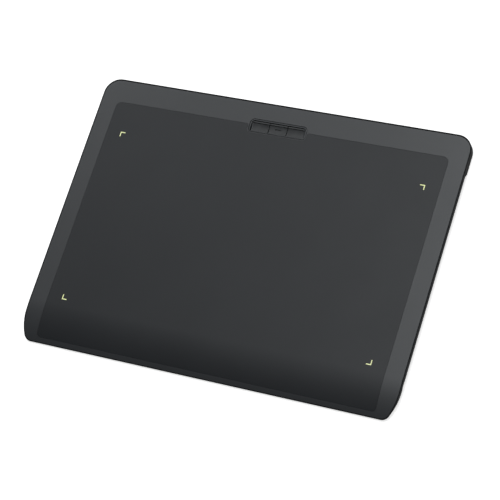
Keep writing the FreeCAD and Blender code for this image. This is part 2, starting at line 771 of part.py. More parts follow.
def make_lower_case():
    """The lower case: black moulded tray with a thin rim round the top cover."""
    shell = cut("case_shell", case_blank(), *case_hollows())
    cover_room = layer("cover_room", case_plan(size("lip_wall")), -THROUGH * 2, size("cover_wall"))
    shell = cut("case_rebated", shell, cover_room)
    posts = []
    post_top = base + size("post_height")
    low = base + size("floor_wall") / 2
    for number, (x, y, _) in enumerate(screw_places()):
        posts.append(rod(f"case_post_{number}", x, y, low, post_top, size("post_radius")))
    for number, (x, y) in enumerate(board_screw_places()):
        posts.append(rod(f"board_post_{number}", x, y, low, board_low, size("board_post_radius")))
    shell = fuse("case_posted", shell, *(case_ribs() + posts))
    holes = []
    head_room = size("case_screw_head_radius") + size("screw_clearance")
    shank_room = size("case_screw_radius") + size("screw_clearance")
    seat = base + size("case_screw_sink") + size("case_screw_head_height")
    for number, (x, y, _) in enumerate(screw_places()):
        holes.append(rod(f"head_hole_{number}", x, y, base - THROUGH, seat, head_room))
        holes.append(rod(f"shank_hole_{number}", x, y, base, post_top + THROUGH, shank_room))
    thread = size("board_screw_radius") + size("thread_clearance")
    for number, (x, y) in enumerate(board_screw_places()):
        low = board_high - size("board_screw_length") - size("thread_clearance")
        holes.append(rod(f"board_thread_{number}", x, y, low, board_high, thread))
    for corner, x, y in foot_places():
        roof = size("foot_thickness")
        outline = foot_outline(x, y, size("foot_gap"))
        holes.append(prism(f"foot_recess_{corner}", outline, base - THROUGH, roof))
    along = size("label_length") / 2 + size("foot_gap")
    across = size("label_width") / 2 + size("foot_gap")
    low = (-along, -across, slab_bottom - THROUGH)
    holes.append(box("label_room", low, (along, across, slab_bottom + size("label_recess"))))
    publish("lower_case", cut("case_drilled", shell, *(holes + rear_openings())))


def port_outline(grow, height_grow):
    """The charging port's rounded outline in X and Z, grown by a gap."""
    side = size("port_width") / 2 + grow
    rise = size("port_height") / 2 + height_grow
    corner = size("port_corner") + grow
    return rounded(-side, side, port_middle - rise, port_middle + rise, corner, corner)


def knob_slot(grow_x, grow_z):
    """The outline of the power knob's slot in X and Z, grown sideways and upwards."""
    reach = (size("knob_width") + size("switch_travel")) / 2 + size("knob_gap") + grow_x
    rise = size("knob_height") / 2 + size("knob_gap") + grow_z
    middle = switch_x
    return rectangle(middle - reach, middle + reach, knob_middle - rise, knob_middle + rise)


def rear_openings():
    """The openings of the rear wall for the charging port and the power switch."""
    low = inner_rear - THROUGH
    high = rear + THROUGH
    gap = size("port_gap")
    port = rear_prism("port_opening", port_outline(gap, gap), low, high)
    slot = rear_prism("knob_opening", knob_slot(zero, zero), low, high)
    wide = knob_slot(size("scoop_margin"), size("scoop_rise"))
    scoop = rear_prism("knob_scoop", wide, rear - size("scoop_depth"), high)
    return [port, slot, scoop]


# Top cover, drawing sheet and lit marks

def make_top_cover():
    """The top cover: grey moulded plate that follows the curved front."""
    plate = layer("cover_plate", case_plan(cover_inset), zero, size("cover_wall"))
    bosses = []
    pilots = []
    low = base + size("post_height")
    for number, (x, y, at_rear) in enumerate(screw_places()):
        underside = cover_under if at_rear else curve_height(y, size("cover_wall"))
        high = underside + size("boss_root")
        tip = base + size("case_screw_sink") + size("case_screw_head_height") + size("case_screw_length")
        tip = tip + size("pilot_room")
        bosses.append(rod(f"cover_boss_{number}", x, y, low, high, size("boss_radius")))
        radius = size("case_screw_radius") + size("thread_clearance")
        pilots.append(rod(f"cover_pilot_{number}", x, y, low - THROUGH, tip, radius))
    plate = fuse("cover_bossed", plate, *bosses)
    room = layer("sheet_room", sheet_plan(-size("sheet_gap")), -THROUGH * 2, sheet_recess)
    strip = prism("well_strip", well_plan(size("sheet_gap") - size("well_strip")), frame_low, top + THROUGH * 3)
    room = cut("sheet_room_cut", room, strip)
    well = prism("well_opening", well_plan(zero), frame_low, top + THROUGH)
    tools = [room, well] + pilots + mark_tools("cover_mark", size("guide_gap"))
    publish("top_cover", cut("cover_opened", plate, *tools))


def make_sheet():
    """The replaceable drawing sheet and the adhesive film under it."""
    thickness = size("sheet_thickness")
    well = prism("sheet_well", well_plan(-size("well_strip")), frame_low, top + THROUGH)
    skin = layer("sheet_skin", sheet_plan(zero), zero, thickness)
    marks = mark_tools("sheet_mark", size("guide_gap"))
    publish("drawing_sheet", cut("sheet_cut", skin, well, *marks))
    inset = size("adhesive_inset")
    film = layer("film_skin", sheet_plan(inset), thickness, sheet_recess)
    film_well = prism("film_well", well_plan(-inset), frame_low, top + THROUGH)
    film_marks = mark_tools("film_mark", size("guide_gap") * 2)
    publish("sheet_adhesive", cut("film_cut", film, film_well, *film_marks))


def make_marks():
    """The four L-shaped light guides and the light under each one."""
    low = cover_under + size("led_height") + size("guide_gap")
    high = top - size("guide_drop")
    half_width_led = size("led_width") / 2
    half_length = size("led_length") / 2
    for corner, outline, (x, y) in mark_outlines(zero):
        publish(f"{corner}_light_guide", prism(f"guide_{corner}", outline, low, high))
        low_corner = (x - half_width_led, y - half_length, cover_under)
        high_corner = (x + half_width_led, y + half_length, cover_under + size("led_height"))
        publish(f"{corner}_light", box(f"light_{corner}", low_corner, high_corner))


# Button unit

def window_plan(gap):
    """The opening inside the button frame, drawn in by a gap."""
    side_inset = size("frame_gap") + size("frame_rim") + gap
    front_inset = size("frame_gap") + size("frame_front_rim") + gap
    return well_plan(side_inset, front_inset)


def make_button_frame():
    """The frame round the three buttons, held by a flange under the cover."""
    collar = prism("frame_collar", well_plan(size("frame_gap")), frame_low, top - size("frame_drop"))
    flange = prism("frame_flange_plate", well_plan(-size("frame_overhang")), frame_low, cover_under)
    window = prism("frame_window", window_plan(zero), frame_low - THROUGH, top + THROUGH)
    publish("button_frame", cut("frame_cut", fuse("frame_body", collar, flange), window))


def key_profile():
    """Side profile of a button: rear ridge, step and a finger scoop that falls to the front."""
    far = rear - size("well_rear_margin") - size("frame_gap") - size("frame_rim") - size("key_gap")
    near = rear - size("well_rear_margin") - size("well_depth")
    near = near + size("frame_gap") + size("frame_front_rim") + size("key_gap")
    ridge = top - size("key_drop")
    ridge_front = far - size("key_ridge")
    step = size("key_step")
    return (
        (near, frame_low - size("key_flange")),
        (far, frame_low - size("key_flange")),
        (far, ridge),
        (ridge_front, ridge),
        (ridge_front - step, ridge - step, size("key_scoop_radius"), RIGHT),
        (near, top - size("key_front_drop")),
    )


def key_pitch():
    """Distance from one button's middle to the next."""
    inside = size("well_width") - (size("frame_gap") + size("frame_rim") + size("key_gap")) * 2
    return (inside + size("key_split")) / 3


def make_buttons():
    """The three buttons, each with a flange that stops it under the frame."""
    pitch = key_pitch()
    width = pitch - size("key_split")
    low = frame_low - size("key_flange")
    profile = key_profile()
    near = profile[0][0]
    far = profile[1][0]
    lap = size("key_overlap") + size("key_gap")
    stem_top = board_high + size("tact_height") + size("stem_proud")
    for number, name in ((-1, "left"), (0, "middle"), (1, "right")):
        middle = pitch * number
        blank = side_solid(f"{name}_key_blank", profile, width, middle)
        trim = prism(f"{name}_key_trim", window_plan(size("key_gap")), low - THROUGH, top)
        key = common(f"{name}_key_face", blank, trim)
        flange_low = (middle - width / 2, near - lap, low)
        flange_high = (middle + width / 2, far + lap, frame_low)
        flange = box(f"{name}_key_flange", flange_low, flange_high)
        plunger = rod(f"{name}_plunger", middle, well_middle_y, stem_top, frame_low, size("plunger_radius"))
        key = fuse(f"{name}_key_body", key, flange, plunger)
        if number == 0:
            key = cut("middle_key_marked", key, touch_mark())
        publish(f"{name}_button", key)


def touch_mark():
    """The short slot that marks the middle button to the finger."""
    along = size("dash_length") / 2
    across = size("dash_width") / 2
    corner = size("dash_corner")
    floor = top - size("key_front_drop") - size("dash_depth")
    outline = rounded(-along, along, well_middle_y - across, well_middle_y + across, corner, corner)
    return prism("touch_mark", outline, floor, top)


def make_button_switches():
    """The push switch under each button, and its stem."""
    half = size("tact_size") / 2
    high = board_high + size("tact_height")
    bottom = high - size("stem_reach")
    bore_floor = bottom - size("key_travel") - size("stem_floor")
    bore = size("stem_radius") + size("stem_gap")
    for number, name in ((-1, "left"), (0, "middle"), (1, "right")):
        x = key_pitch() * number
        low_corner = (x - half, well_middle_y - half, board_high)
        high_corner = (x + half, well_middle_y + half, high)
        housing = box(f"{name}_switch_box", low_corner, high_corner)
        hole = rod(f"{name}_switch_bore", x, well_middle_y, bore_floor, high + THROUGH, bore)
        publish(f"{name}_button_switch", cut(f"{name}_switch_cut", housing, hole))
        stem_top = high + size("stem_proud")
        stem = rod(f"{name}_stem", x, well_middle_y, bottom, stem_top, size("stem_radius"))
        publish(f"{name}_switch_stem", stem)


# Main board

def make_main_board():
    """The main board, with room for its screws and for one case post."""
    low_corner = (board_left, board_front, board_low)
    high_corner = (board_right, board_rear, board_high)
    blank = box("board_blank", low_corner, high_corner)
    holes = []
    shank = size("board_screw_radius") + size("screw_clearance")
    for number, (x, y) in enumerate(board_screw_places()):
        holes.append(rod(f"board_hole_{number}", x, y, board_low - THROUGH, board_high + THROUGH, shank))
    post_room = size("post_radius") + size("post_gap")
    rear_row = rear - size("screw_rear_margin")
    holes.append(rod("post_room", screw_inner_x, rear_row, board_low - THROUGH, board_high + THROUGH, post_room))
    publish("main_board", cut("board_drilled", blank, *holes))


def screw(name, x, y, seat, kind, head_up):
    """A screw with its head above its seat, or hung below it."""
    shank = size(f"{kind}_screw_length")
    head = size(f"{kind}_screw_head_height")
    drive = size(f"{kind}_drive_depth")
    if head_up:
        spans = ((seat, seat + head), (seat - shank, seat), (seat + head - drive, seat + head + THROUGH))
    else:
        spans = ((seat - head, seat), (seat, seat + shank), (seat - head - THROUGH, seat - head + drive))
    radii = [size(f"{kind}_{each}") for each in ("screw_head_radius", "screw_radius", "drive_radius")]
    rods = []
    for part, (low, high), radius in zip(("head", "shank", "drive"), spans, radii):
        rods.append(rod(f"{name}_{part}", x, y, low, high, radius))
    return cut(name + "_driven", fuse(name, rods[0], rods[1]), rods[2])


def make_screws():
    """The case screws and the board screws."""
    seat = base + size("case_screw_sink") + size("case_screw_head_height")
    case_screws = []
    for number, (x, y, _) in enumerate(screw_places()):
        case_screws.append(screw(f"case_screw_{number}", x, y, seat, "case", False))
    publish("case_screws", group("case_screw_group", case_screws))
    board_screws = []
    for number, (x, y) in enumerate(board_screw_places()):
        board_screws.append(screw(f"board_screw_{number}", x, y, board_high, "board", True))
    publish("board_screws", group("board_screw_group", board_screws))


def chip(name, x, y, width, depth, height):
    """A rectangular part that stands on the main board, centred on a point."""
    low_corner = (x - width / 2, y - depth / 2, board_high)
    high_corner = (x + width / 2, y + depth / 2, board_high + height)
    return box(name, low_corner, high_corner)


def make_board_parts():
    """The controller, the radio under its shield can, and the chip antenna."""
    middle = (board_front + board_rear) / 2
    side = size("controller_size")
    y = board_front + size("controller_margin")
    height = size("controller_height")
    x = board_right - size("controller_side_margin")
    publish("controller_chip", chip("controller", x, y, side, side, height))
    can = chip("can_outer", can_x, middle, size("can_width"), size("can_depth"), size("can_height"))
    wall = size("can_wall")
    inner_width = size("can_width") - wall * 2
    inner_depth = size("can_depth") - wall * 2
    room = chip("can_inner", can_x, middle, inner_width, inner_depth, size("can_height") - wall)
    publish("shield_can", cut("can_cut", can, room))
    side = size("radio_size")
    publish("radio_chip", chip("radio", can_x, middle, side, side, size("radio_height")))
    width = size("antenna_width")
    x = board_right - size("antenna_margin") - width / 2
    antenna = chip("antenna", x, middle, width, size("antenna_length"), size("antenna_height"))
    publish("chip_antenna", antenna)


def make_port():
    """The charging port: a thin shell with a moulded core and tongue inside."""
    mouth = rear - size("port_sink")
    back = mouth - size("port_length")
    outer = rear_prism("port_outer", port_outline(zero, zero), back, mouth)
    wall = -size("port_wall")
    inner = rear_prism("port_inner", port_outline(wall, wall), back - THROUGH, mouth + THROUGH)
    publish("charging_port_shell", cut("port_shell_cut", outer, inner))
    fit = wall - size("core_gap")
    core = rear_prism("port_core_block", port_outline(fit, fit), back, back + size("port_core"))
    side = size("tongue_width") / 2
    rise = size("tongue_height") / 2
    low_corner = (-side, back + size("port_core") / 2, port_middle - rise)
    tongue = box("port_tongue", low_corner, (side, mouth - size("tongue_sink"), port_middle + rise))
    publish("charging_port_core", fuse("port_core_body", core, tongue))


def make_power_switch():
    """The slide switch at the rear edge, its lever and the outer knob."""
    body_rear = board_rear
    body_front = body_rear - size("switch_depth")
    middle = switch_x
    half = size("switch_width") / 2
    low_corner = (middle - half, body_front, board_high)
    high_corner = (middle + half, body_rear, board_high + size("switch_height"))
    blank = box("switch_box", low_corner, high_corner)
    gap = size("lever_gap")
    reach = (size("lever_width") + size("switch_travel")) / 2 + gap
    rise = size("lever_height") / 2
    lever_front = body_rear - size("lever_reach")
    low_corner = (middle - reach, lever_front - gap, knob_middle - rise - gap)
    slot = box("switch_slot", low_corner, (middle + reach, body_rear + THROUGH, knob_middle + rise + gap))
    publish("power_switch_body", cut("switch_cut", blank, slot))
    plate_rear = inner_rear - size("knob_plate_gap")
    plate_front = plate_rear - size("knob_plate")
    lever_side = size("lever_width") / 2
    low_corner = (switch_rest_x - lever_side, lever_front, knob_middle - rise)
    lever_tip = plate_rear - size("lever_tip_wall")
    high_corner = (switch_rest_x + lever_side, lever_tip, knob_middle + rise)
    publish("power_switch_lever", box("switch_lever", low_corner, high_corner))
    plate_side = size("knob_width") / 2 + size("switch_travel") + size("knob_plate_reach")
    plate_rise = size("knob_height") / 2 + size("knob_gap") + size("knob_plate_reach")
    low_corner = (switch_rest_x - plate_side, plate_front, knob_middle - plate_rise)
    high_corner = (switch_rest_x + plate_side, plate_rear, knob_middle + plate_rise)
    plate = box("knob_plate_box", low_corner, high_corner)
    grip_side = size("knob_width") / 2
    grip_rise = size("knob_height") / 2
    low_corner = (switch_rest_x - grip_side, plate_front, knob_middle - grip_rise)
    high_corner = (switch_rest_x + grip_side, rear - size("knob_sink"), knob_middle + grip_rise)
    grip = box("knob_grip", low_corner, high_corner)
    side = lever_side + gap / 2
    lift = rise + gap / 2
    low_corner = (switch_rest_x - side, plate_front - THROUGH, knob_middle - lift)
    socket = box("knob_socket", low_corner, (switch_rest_x + side, lever_tip + gap / 2, knob_middle + lift))
    publish("power_switch_knob", cut("knob_cut", fuse("knob_body", plate, grip), socket))


# Drawing sensor

def make_sensor():
    """The sensor board under the cover, its shield, and the ribbon to the main board."""
    side = sensor_side
    low_corner = (-side, sensor_front, sensor_low)
    publish("sensor_board", box("sensor", low_corner, (side, sensor_rear, cover_under)))
    inset = size("shield_inset")
    shield_rear = sensor_rear - size("shield_rear_inset")
    low_corner = (-side + inset, sensor_front + inset, shield_low)
    publish("shield_sheet", box("shield", low_corner, (side - inset, shield_rear, sensor_low)))
    half = (size("ribbon_width") + size("socket_extra")) / 2
    x = ribbon_x
    depth = size("socket_depth")
    height = size("socket_height")
    low_corner = (x - half, sensor_rear - depth, sensor_low - height)
    high_corner = (x + half, sensor_rear, sensor_low)
    publish("sensor_ribbon_socket", box("upper_socket", low_corner, high_corner))
    socket_front = board_front + size("socket_margin")
    low_corner = (x - half, socket_front, board_high)
    high_corner = (x + half, socket_front + depth, board_high + height)
    publish("board_ribbon_socket", box("lower_socket", low_corner, high_corner))
    upper = sensor_low - height + size("ribbon_lift")
    lower = board_high + size("ribbon_lift")
    thick = size("ribbon_thickness")
    bend = rear_bay_front
    landing = socket_front - size("ribbon_lift")
    profile = (
        (sensor_rear, upper), (bend, upper), (landing, lower), (socket_front, lower),
        (socket_front, lower + thick), (landing, lower + thick), (bend, upper + thick),
        (sensor_rear, upper + thick),
    )
    publish("sensor_ribbon", side_solid("ribbon", profile, size("ribbon_width"), x))


# Battery

def make_battery():
    """The pouch cell, its tape and protection board, and the leads to the main board."""
    left = size("battery_side_margin") - half_width
    right = -screw_inner_x - size("battery_screw_gap")
    near = rear_bay_front + size("battery_front_gap")
    far = near + size("battery_depth")
    low = bay_floor + size("tape_thickness")
    corner = size("battery_corner")
    cell = prism("cell", rounded(left, right, near, far, corner, corner), low, low + size("battery_height"))
    publish("battery_cell", cell)
    inset = size("tape_inset")
    low_corner = (left + inset, near + inset, bay_floor)
    publish("battery_tape", box("tape", low_corner, (right - inset, far - inset, low)))
    middle = bay_floor + size("lead_rise")
    half = size("guard_thickness") / 2
    guard_right = right + size("guard_width")
    inset = size("guard_inset") + corner
    low_corner = (right, near + inset, middle - half)
    high_corner = (guard_right, far - inset, middle + half)
    publish("battery_protection_board", box("guard", low_corner, high_corner))
    plug_y = board_front + size("plug_margin")
    plug_side = size("plug_width") / 2
    plug_right = board_left + size("plug_length") / 2
    plug_left = plug_right - size("plug_length")
    for name, side in (("positive", 1), ("negative", -1)):
        lead = doc.addObject("Part::Cylinder", f"lead_{name}")
        bind(lead, "Radius", size("lead_radius"))
        bind(lead, "Height", plug_left - guard_right)
        lead.Placement.Rotation = FreeCAD.Rotation(FreeCAD.Vector(0, 1, 0), 90)
        place(lead, guard_right, plug_y + size("lead_pitch") / 2 * side, middle)
        publish(f"battery_lead_{name}", lead)
    low_corner = (plug_left, plug_y - plug_side, board_high)
    high_corner = (plug_right, plug_y + plug_side, board_high + size("plug_height"))
    publish("battery_plug", box("plug", low_corner, high_corner))
    low_corner = (plug_right, plug_y - plug_side, board_high)
    socket_right = plug_right + size("socket_length")
    high_corner = (socket_right, plug_y + plug_side, board_high + size("plug_height"))
    publish("battery_socket", box("socket", low_corner, high_corner))


# Feet and label

def make_feet():
    """The four rubber feet, each bedded in a shallow recess."""
    for corner, x, y in foot_places():
        outline = foot_outline(x, y, zero)
        publish(f"{corner}_foot", prism(f"foot_{corner}", outline, zero, size("foot_thickness")))


def make_label():
    """The bare rating label in its recess under the slab."""
    along = size("label_length") / 2
    across = size("label_width") / 2
    roof = slab_bottom + size("label_recess")
    low_corner = (-along, -across, roof - size("label_thickness"))
    publish("rating_label", box("label", low_corner, (along, across, roof)))


def check_document():
    """Stop if any object failed or any sub-part has no valid shape."""
    for thing in doc.Objects:
        if "Invalid" in thing.State or "Error" in thing.State:
            raise RuntimeError(f"{thing.Name} did not build: {thing.State}")
    for part in PARTS:
        if part.Shape.isNull() or not part.Shape.isValid() or not part.Shape.Solids:
            raise RuntimeError(f"{part.Label} has no valid solid")


def write_parts():
    """Write each sub-part to its own STEP file."""
    os.makedirs("parts", exist_ok=True)
    for part in PARTS:
        part.Shape.exportStep(f"parts/{part.Label}.step")
        bounds = part.Shape.BoundBox
        print(f"{part.Label}: {len(part.Shape.Solids)} solid(s), volume {part.Shape.Volume:.2f},", end=" ")
        print(f"z {bounds.ZMin:.2f} to {bounds.ZMax:.2f}")


make_lower_case()
make_top_cover()
make_sheet()
make_marks()
make_button_frame()
make_buttons()
make_button_switches()
make_main_board()
make_screws()
make_board_parts()
make_port()
make_power_switch()
make_sensor()
make_battery()
make_feet()
make_label()
doc.recompute()
check_document()
write_parts()
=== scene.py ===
import json
import logging
import math
from collections.abc import Callable, Sequence
from dataclasses import dataclass
from enum import Enum

import bmesh
import bpy
from mathutils import Euler, Matrix, Vector


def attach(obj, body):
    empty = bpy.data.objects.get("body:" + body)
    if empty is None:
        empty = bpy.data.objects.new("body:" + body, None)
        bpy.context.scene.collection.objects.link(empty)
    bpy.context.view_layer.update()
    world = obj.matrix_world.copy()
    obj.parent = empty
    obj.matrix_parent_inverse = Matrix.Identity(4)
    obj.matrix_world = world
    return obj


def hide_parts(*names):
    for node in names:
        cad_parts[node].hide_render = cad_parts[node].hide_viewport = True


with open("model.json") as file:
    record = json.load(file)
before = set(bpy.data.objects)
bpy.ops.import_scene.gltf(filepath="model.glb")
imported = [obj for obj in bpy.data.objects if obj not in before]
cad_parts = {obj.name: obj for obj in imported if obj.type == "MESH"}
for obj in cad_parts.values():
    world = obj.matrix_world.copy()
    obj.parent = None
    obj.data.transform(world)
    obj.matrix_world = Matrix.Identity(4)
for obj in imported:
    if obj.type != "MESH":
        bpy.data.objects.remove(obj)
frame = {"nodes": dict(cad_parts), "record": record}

# A medium pen tablet on a pale desk. Sizes are millimetres until a mesh is made, which is in metres.

LOG = logging.getLogger("pen_tablet")
MM = 0.001
WELD_MM = 0.002
SLICE_MM = 0.00001

Path = list[Vector]
Ring = list[Vector]
Corner = tuple[float, float, float]
Steps = Sequence[tuple[float, float]]

# Edges that turn by more degrees than this stay sharp: on most pieces, on the large plates, on the keys.
SMOOTH_ANGLE = 40.0
PLATE_ANGLE = 35.0
KEY_ANGLE = 30.0


class Body(Enum):
    """The moving bodies of the tablet."""

    TABLET = "tablet"
    LEFT = "left_button"
    MIDDLE = "middle_button"
    RIGHT = "right_button"
    POWER = "power_switch"


class Texture(Enum):
    """The relief that a way of making leaves on a surface."""

    GRAIN = "fine random grain"
    CELLS = "closed cells"
    BRUSHED = "long strokes one way"
    CREASED = "soft creases"


# Nodes

def add_node(
    tree: bpy.types.NodeTree,
    kind: str,
    settings: dict[str | int, object] | None = None,
    links: dict[str | int, bpy.types.NodeSocket] | None = None,
) -> bpy.types.Node:
    """Add a node, set it up and link it.

    Args:
        tree: The node tree that gets the node.
        kind: Blender's name for the node's type.
        settings: Values, by property name or by the name or number of an input.
        links: Output sockets, by the name or number of the input that each one feeds.

    Returns:
        The new node.
    """
    node = tree.nodes.new(kind)
    for key, value in (settings or {}).items():
        if isinstance(key, str) and hasattr(node, key):
            setattr(node, key, value)
        else:
            node.inputs[key].default_value = value
    for key, socket in (links or {}).items():
        tree.links.new(socket, node.inputs[key])
    return node


def emptied_tree(owner: bpy.types.Material | bpy.types.World) -> bpy.types.NodeTree:
    """Turn a material's or a world's nodes on and empty its tree."""
    owner.use_nodes = True
    owner.node_tree.nodes.clear()
    return owner.node_tree


def linear(code: str) -> tuple[float, float, float, float]:
    """Turn an sRGB hex colour into the linear colour that a socket takes.

    Args:
        code: Six hex digits after a hash.

    Returns:
        Red, green, blue and a full alpha.
    """
    channels = [int(code[start:start + 2], 16) / 255 for start in (1, 3, 5)]
    values = [c / 12.92 if c <= 0.04045 else ((c + 0.055) / 1.055) ** 2.4 for c in channels]
    return (values[0], values[1], values[2], 1.0)


def per_metre(feature_mm: float) -> float:
    """Scale of a texture whose features have a size in millimetres."""
    return 1.0 / (feature_mm * MM)


# Finishes

# How much fine speckle is added to the slow patches, and the stretches of noise that span each range.
SPECKLE_SHARE = 0.35
TINT_SPAN = (0.45, 0.9)
WEAR_SPAN = (0.3, 0.7)
BAND_EDGE = 0.08

# Worn spots are smaller than the colour patches by this share, and strokes run along X.
WEAR_SIZE = 0.4
STROKE_STRETCH = (0.04, 1.0, 1.0)


@dataclass(frozen=True)
class Finish:
    """A surface of one real material, as it was made.

    Attributes:
        name: Common name of the material and its process.
        light: sRGB colour of its lighter patches.
        dark: sRGB colour of its darker patches.
        roughness: Mean roughness of the surface.
        rough_spread: How far the roughness strays either way.
        patch_mm: Size of the slow colour patches.
        grain_mm: Size of the relief's grains, cells or strokes.
        relief_mm: Height of the relief.
        texture: Kind of relief.
        metallic: 1 for a metal.
        specular: Strength of the mirror-like part of a plastic.
    """

    name: str
    light: str
    dark: str
    roughness: float
    rough_spread: float = 0.06
    patch_mm: float = 45.0
    grain_mm: float = 0.9
    relief_mm: float = 0.01
    texture: Texture = Texture.GRAIN
    metallic: float = 0.0
    specular: float = 0.5

    def tint(self, tree: bpy.types.NodeTree, place: bpy.types.NodeSocket) -> bpy.types.NodeSocket:
        """Colour of the surface: slow patches between the two shades, with fine speckle in them.

        Args:
            tree: The material's node tree.
            place: Object coordinates.

        Returns:
            The colour socket.
        """
        patch = add_node(tree, "ShaderNodeTexNoise",
                         {"Scale": per_metre(self.patch_mm), "Detail": 4.0, "Roughness": 0.55},
                         {"Vector": place})
        speckle = add_node(tree, "ShaderNodeTexNoise",
                           {"Scale": per_metre(self.grain_mm), "Detail": 2.0}, {"Vector": place})
        both = add_node(tree, "ShaderNodeMath", {"operation": "MULTIPLY_ADD", 1: SPECKLE_SHARE},
                        {0: speckle.outputs["Fac"], 2: patch.outputs["Fac"]})
        spread = add_node(tree, "ShaderNodeMapRange",
                          {"From Min": TINT_SPAN[0], "From Max": TINT_SPAN[1]},
                          {"Value": both.outputs["Value"]})
        shades = add_node(tree, "ShaderNodeMix",
                          {"data_type": "RGBA", 6: linear(self.dark), 7: linear(self.light)},
                          {0: spread.outputs["Result"]})
        return shades.outputs[2]

    def relief(self, tree: bpy.types.NodeTree, place: bpy.types.NodeSocket) -> bpy.types.NodeSocket:
        """Height of the surface's relief, from 0 to 1.

        Args:
            tree: The material's node tree.
            place: Object coordinates.

        Returns:
            The height socket.
        """
        scale = per_metre(self.grain_mm)
        if self.texture in (Texture.CELLS, Texture.CREASED):
            feature = "F1" if self.texture is Texture.CELLS else "SMOOTH_F1"
            cells = add_node(tree, "ShaderNodeTexVoronoi", {"feature": feature, "Scale": scale},
                             {"Vector": place})
            return cells.outputs["Distance"]
        vector = place
        if self.texture is Texture.BRUSHED:
            strokes = add_node(tree, "ShaderNodeMapping", {"Scale": STROKE_STRETCH}, {"Vector": place})
            vector = strokes.outputs["Vector"]
        grain = add_node(tree, "ShaderNodeTexNoise", {"Scale": scale, "Detail": 5.0, "Roughness": 0.65},
                         {"Vector": vector})
        return grain.outputs["Fac"]

    def shader(self, tree: bpy.types.NodeTree, place: bpy.types.NodeSocket) -> bpy.types.Node:
        """The surface's own shader, with its colour, roughness and relief.

        Args:
            tree: The material's node tree.
            place: Object coordinates.

        Returns:
            The shader node.
        """
        wear = add_node(tree, "ShaderNodeTexNoise",
                        {"Scale": per_metre(self.patch_mm * WEAR_SIZE), "Detail": 6.0}, {"Vector": place})
        rough = add_node(tree, "ShaderNodeMapRange",
                         {"From Min": WEAR_SPAN[0], "From Max": WEAR_SPAN[1],
                          "To Min": self.roughness - self.rough_spread,
                          "To Max": self.roughness + self.rough_spread},
                         {"Value": wear.outputs["Fac"]})
        bump = add_node(tree, "ShaderNodeBump", {"Strength": 1.0, "Distance": self.relief_mm * MM},
                        {"Height": self.relief(tree, place)})
        return add_node(tree, "ShaderNodeBsdfPrincipled",
                        {"Metallic": self.metallic, "Specular IOR Level": self.specular},
                        {"Base Color": self.tint(tree, place), "Roughness": rough.outputs["Result"],
                         "Normal": bump.outputs["Normal"]})

    def build(self) -> bpy.types.Material:
        """Make the material.

        Returns:
            The material, named for what it is.
        """
        material = bpy.data.materials.new(self.name)
        tree = emptied_tree(material)
        place = add_node(tree, "ShaderNodeTexCoord").outputs["Object"]
        shader = self.shader(tree, place)
        add_node(tree, "ShaderNodeOutputMaterial", links={"Surface": shader.outputs[0]})
        material.diffuse_color = linear(self.light)
        return material


@dataclass(frozen=True)
class LitFinish(Finish):
    """A frosted plastic that is lit from below.

    Attributes:
        glow: sRGB colour of the light that comes out.
        strength: Strength of that light.
        uneven_mm: Size of the patches in which it is a little weaker or stronger.
    """

    glow: str = "#dfe6a2"
    strength: float = 0.6
    uneven_mm: float = 2.5

    def shader(self, tree: bpy.types.NodeTree, place: bpy.types.NodeSocket) -> bpy.types.Node:
        """The frosted surface with its glow, a little uneven from the chip light below."""
        surface = super().shader(tree, place)
        surface.inputs["Emission Strength"].default_value = self.strength
        uneven = add_node(tree, "ShaderNodeTexNoise", {"Scale": per_metre(self.uneven_mm)},
                          {"Vector": place})
        glow = add_node(tree, "ShaderNodeMix",
                        {"data_type": "RGBA", 6: linear(self.glow), 7: linear(self.light)},
                        {0: uneven.outputs["Fac"]})
        tree.links.new(glow.outputs[2], surface.inputs["Emission Color"])
        return surface


@dataclass(frozen=True)
class BandedFinish(Finish):
    """A surface with straight bands across it, such as tracks or conductors.

    Attributes:
        band: sRGB colour of the bands.
        band_mm: Distance from one band to the next.
        along_x: True where the bands run along X.
        threshold: Share of the pitch that stays plain.
        jog: How far the bands wander, as a share of their pitch.
    """

    band: str = "#c8cacc"
    band_mm: float = 1.0
    along_x: bool = True
    threshold: float = 0.6
    jog: float = 0.0

    def tint(self, tree: bpy.types.NodeTree, place: bpy.types.NodeSocket) -> bpy.types.NodeSocket:
        """The plain shades with the bands laid over them."""
        plain = super().tint(tree, place)
        direction = "Y" if self.along_x else "X"
        # A wave texture repeats every tenth of its scale times pi.
        wave = add_node(tree, "ShaderNodeTexWave",
                        {"bands_direction": direction, "Scale": per_metre(self.band_mm) * math.pi / 10,
                         "Distortion": self.jog, "Detail": 0.0, "Detail Scale": 0.4}, {"Vector": place})
        edge = add_node(tree, "ShaderNodeMapRange",
                        {"From Min": self.threshold, "From Max": self.threshold + BAND_EDGE},
                        {"Value": wave.outputs["Fac"]})
        laid = add_node(tree, "ShaderNodeMix", {"data_type": "RGBA", 7: linear(self.band)},
                        {0: edge.outputs["Result"], 6: plain})
        return laid.outputs[2]


